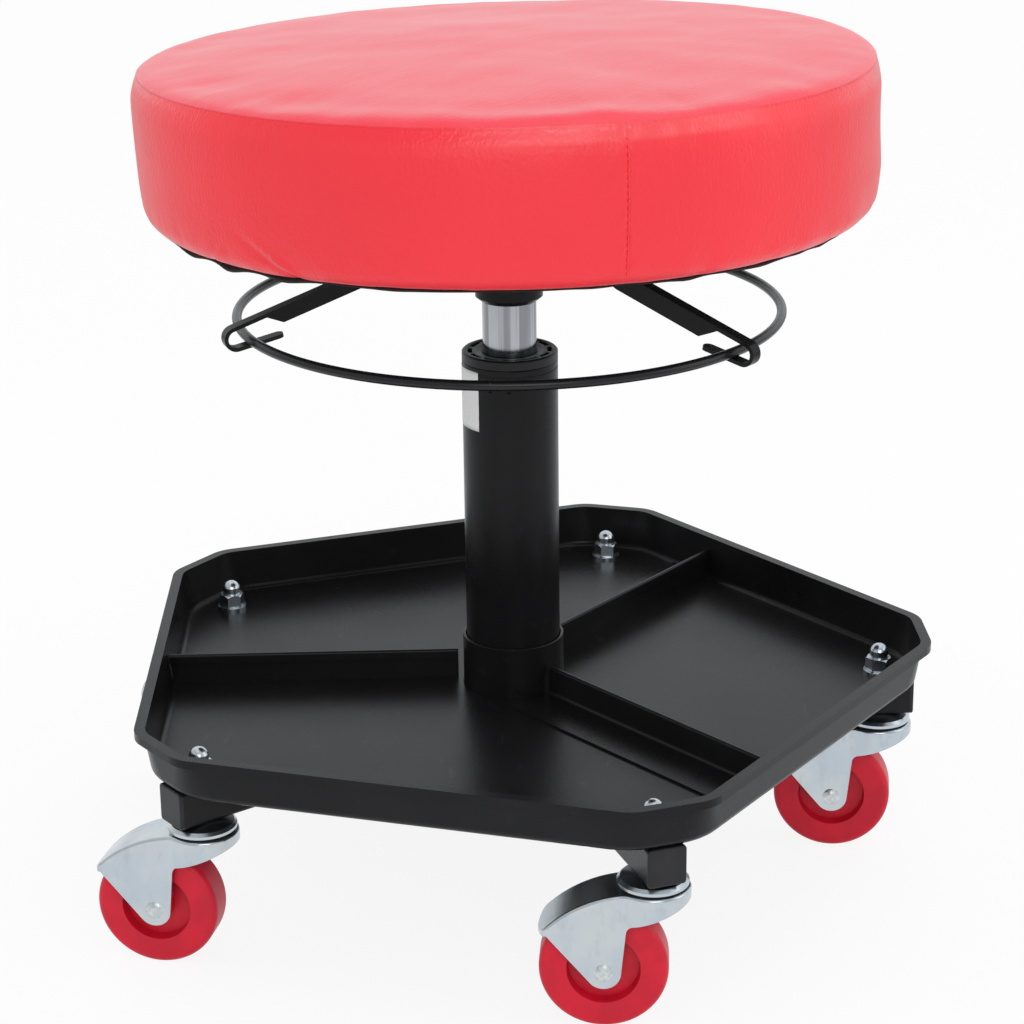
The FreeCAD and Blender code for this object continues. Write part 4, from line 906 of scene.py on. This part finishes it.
# Weld beads where the legs meet the hub, and round the socket tube under the seat, in mm

welds = {"legBead": 1.5, "socketBead": 1.6, "ripple": 0.28, "sides": 7, "hubRadius": 27.0, "legHalf": 10.0,
         "legFoot": 82.0, "legStep": 1.35, "socketRadius": 17.8, "socketHeight": 333.9}


def beadAlong(points, faces, path, size, phase):  # a rippled bead along a path of (place, outward, rise)
    base, sides = len(points), welds["sides"]
    for step, (place, outward, rise) in enumerate(path):
        ends = min(step, len(path) - 1 - step)
        swell = size * (0.45 + 0.55 * min(1.0, ends / 2)) * (1 + welds["ripple"] * math.sin(step * 1.9 + phase))
        for side in range(sides):
            turn = 2 * math.pi * side / sides
            points.append(tuple((place + outward * (swell * math.cos(turn)) + rise * (swell * math.sin(turn))) * mm))
    for step in range(len(path) - 1):
        for side in range(sides):
            n = (side + 1) % sides
            a, b = base + step * sides, base + (step + 1) * sides
            faces.append((a + side, b + side, b + n, a + n))
    faces.append(tuple(base + side for side in range(sides)))
    faces.append(tuple(base + (len(path) - 1) * sides + side for side in reversed(range(sides))))


def makeLegWelds():
    points, faces = [], []
    for k in range(5):
        middle = math.radians(72 * k)
        for side in (-1, 1):
            path = []
            corner = middle + side * (math.asin(welds["legHalf"] / welds["hubRadius"]) + 0.03)
            outward = Vector((math.cos(corner), math.sin(corner), 0))
            for step in range(13):
                height = welds["legFoot"] + step * welds["legStep"]
                place = outward * (welds["hubRadius"] + 0.1) + Vector((0, 0, height))
                path.append((place, outward, outward.cross(Vector((0, 0, 1)))))
            beadAlong(points, faces, path, welds["legBead"], k + side)
    return meshPiece("legWelds", points, faces, finishes["black_paint"], "base")


def makeSocketWeld():
    points, faces = [], []
    path = []
    for step in range(73):
        angle = 2 * math.pi * step / 72
        outward = Vector((math.cos(angle), math.sin(angle), 0))
        place = outward * welds["socketRadius"] + Vector((0, 0, welds["socketHeight"]))
        path.append((place, outward, Vector((0, 0, 1))))
    beadAlong(points, faces, path, welds["socketBead"], 2)
    return meshPiece("socketWeld", points, faces, finishes["black_paint"], "seat")


makeLegWelds()
makeSocketWeld()
print("welds laid")


# Camera, floor and light

camera = {"place": (-0.0314, -1.3568, 0.6754), "heading": 88.67, "down": 19.41, "roll": -0.72, "lens": 95.52,
          "sensor": 36.0}
studio = {"floorColour": (0.95, 0.95, 0.95), "floorReach": 7, "floorGlow": 0.88, "worldStrength": 0.88,
          "frontGlow": 0.62, "mirrorTint": (0.955, 0.982, 1.0), "mirrorDim": 0.5, "floorFading": (0.5, 1.5)}
softboxes = {  # place, aim, width, height, power
    "topBox": ((0.0, -0.1, 1.9), (0, 0, 0.3), 1.8, 1.4, 3.0),
    "leftBox": ((-1.7, -0.5, 0.9), (0, 0, 0.25), 0.9, 1.5, 0.5),
    "rightBox": ((1.7, -0.4, 0.9), (0, 0, 0.25), 0.9, 1.5, 3.4),
    "frontBox": ((0.2, -2.2, 1.3), (0, 0, 0.25), 1.4, 0.9, 9.0)}


def placeCamera():
    lens = bpy.data.cameras.new("photoView")
    lens.lens, lens.sensor_width = camera["lens"], camera["sensor"]
    holder = bpy.data.objects.new("photoView", lens)
    bpy.context.scene.collection.objects.link(holder)
    turn = (Matrix.Rotation(math.radians(camera["heading"] - 90), 4, "Z")
            @ Matrix.Rotation(math.radians(90 - camera["down"]), 4, "X")
            @ Matrix.Rotation(math.radians(camera["roll"]), 4, "Z"))
    holder.matrix_world = Matrix.Translation(camera["place"]) @ turn
    bpy.context.scene.camera = holder


def makeFloor():
    reach = studio["floorReach"]
    points = [(-reach, -reach, 0), (reach, -reach, 0), (reach, reach, 0), (-reach, reach, 0)]
    mesh = bpy.data.meshes.new("studioFloor")
    mesh.from_pydata(points, [], [(0, 1, 2, 3)])
    floor = bpy.data.objects.new("studioFloor", mesh)
    bpy.context.scene.collection.objects.link(floor)
    finish = Finish("paleFloor", studio["floorColour"], 0.7)
    seen, mirrored, through = finish.rays("Is Camera Ray", "Is Glossy Ray", "Is Transmission Ray")
    x, y, z = finish.axes(finish.spot)
    far = ((x * x + y * y) ** 0.5).between(*studio["floorFading"])
    white = finish.mixed(mirrored, (1.0, 1.0, 1.0), studio["mirrorTint"])
    dim = tinted(studio["mirrorTint"], studio["mirrorDim"])
    glow = finish.node("Emission", inputs={"Color": finish.mixed(mirrored * far, white, dim), "Strength": 1.0})
    direct = seen.step("MAXIMUM", seen, mirrored.step("MAXIMUM", mirrored, through))
    blend = finish.node("MixShader", inputs={0: direct * studio["floorGlow"]})
    mixer = blend.socket.node
    finish.tree.links.new(finish.shader.outputs[0], mixer.inputs[1])
    finish.tree.links.new(glow.socket, mixer.inputs[2])
    finish.tree.links.new(blend.socket, finish.tree.nodes["Material Output"].inputs["Surface"])
    mesh.materials.append(finish.material)


def makeWorld():  # white where it is seen, and to a mirror dimmer on the camera's side of the studio
    world = bpy.data.worlds.new("studioAir")
    bpy.context.scene.world = world
    air = Shading(world)
    seen, mirrored, through = air.rays("Is Camera Ray", "Is Glossy Ray", "Is Transmission Ray")
    across, away, up = air.axes(air.node("TexCoord", output="Generated"))
    inMirror = studio["frontGlow"] + (away + 0.25 * across).between(-0.2, 0.7) * (1 - studio["frontGlow"])
    plain = studio["worldStrength"] + mirrored * (inMirror - studio["worldStrength"])
    direct = seen.step("MAXIMUM", seen, through)
    background = air.tree.nodes["Background"]
    air.put(background.inputs["Color"], air.mixed(mirrored, (1.0, 1.0, 1.0), studio["mirrorTint"]))
    air.put(background.inputs["Strength"], plain + direct * (1 - plain))


def softbox(name, place, target, wide, high, power):
    lamp = bpy.data.lights.new(name, "AREA")
    lamp.shape, lamp.size, lamp.size_y, lamp.energy = "RECTANGLE", wide, high, power
    holder = bpy.data.objects.new(name, lamp)
    bpy.context.scene.collection.objects.link(holder)
    holder.location = place
    holder.rotation_euler = (Vector(target) - Vector(place)).to_track_quat("-Z", "Y").to_euler()


placeCamera()
makeFloor()
makeWorld()
for lampName, lampValues in softboxes.items():
    softbox(lampName, *lampValues)
bpy.context.scene.view_settings.view_transform = "Standard"
print("studio lit")
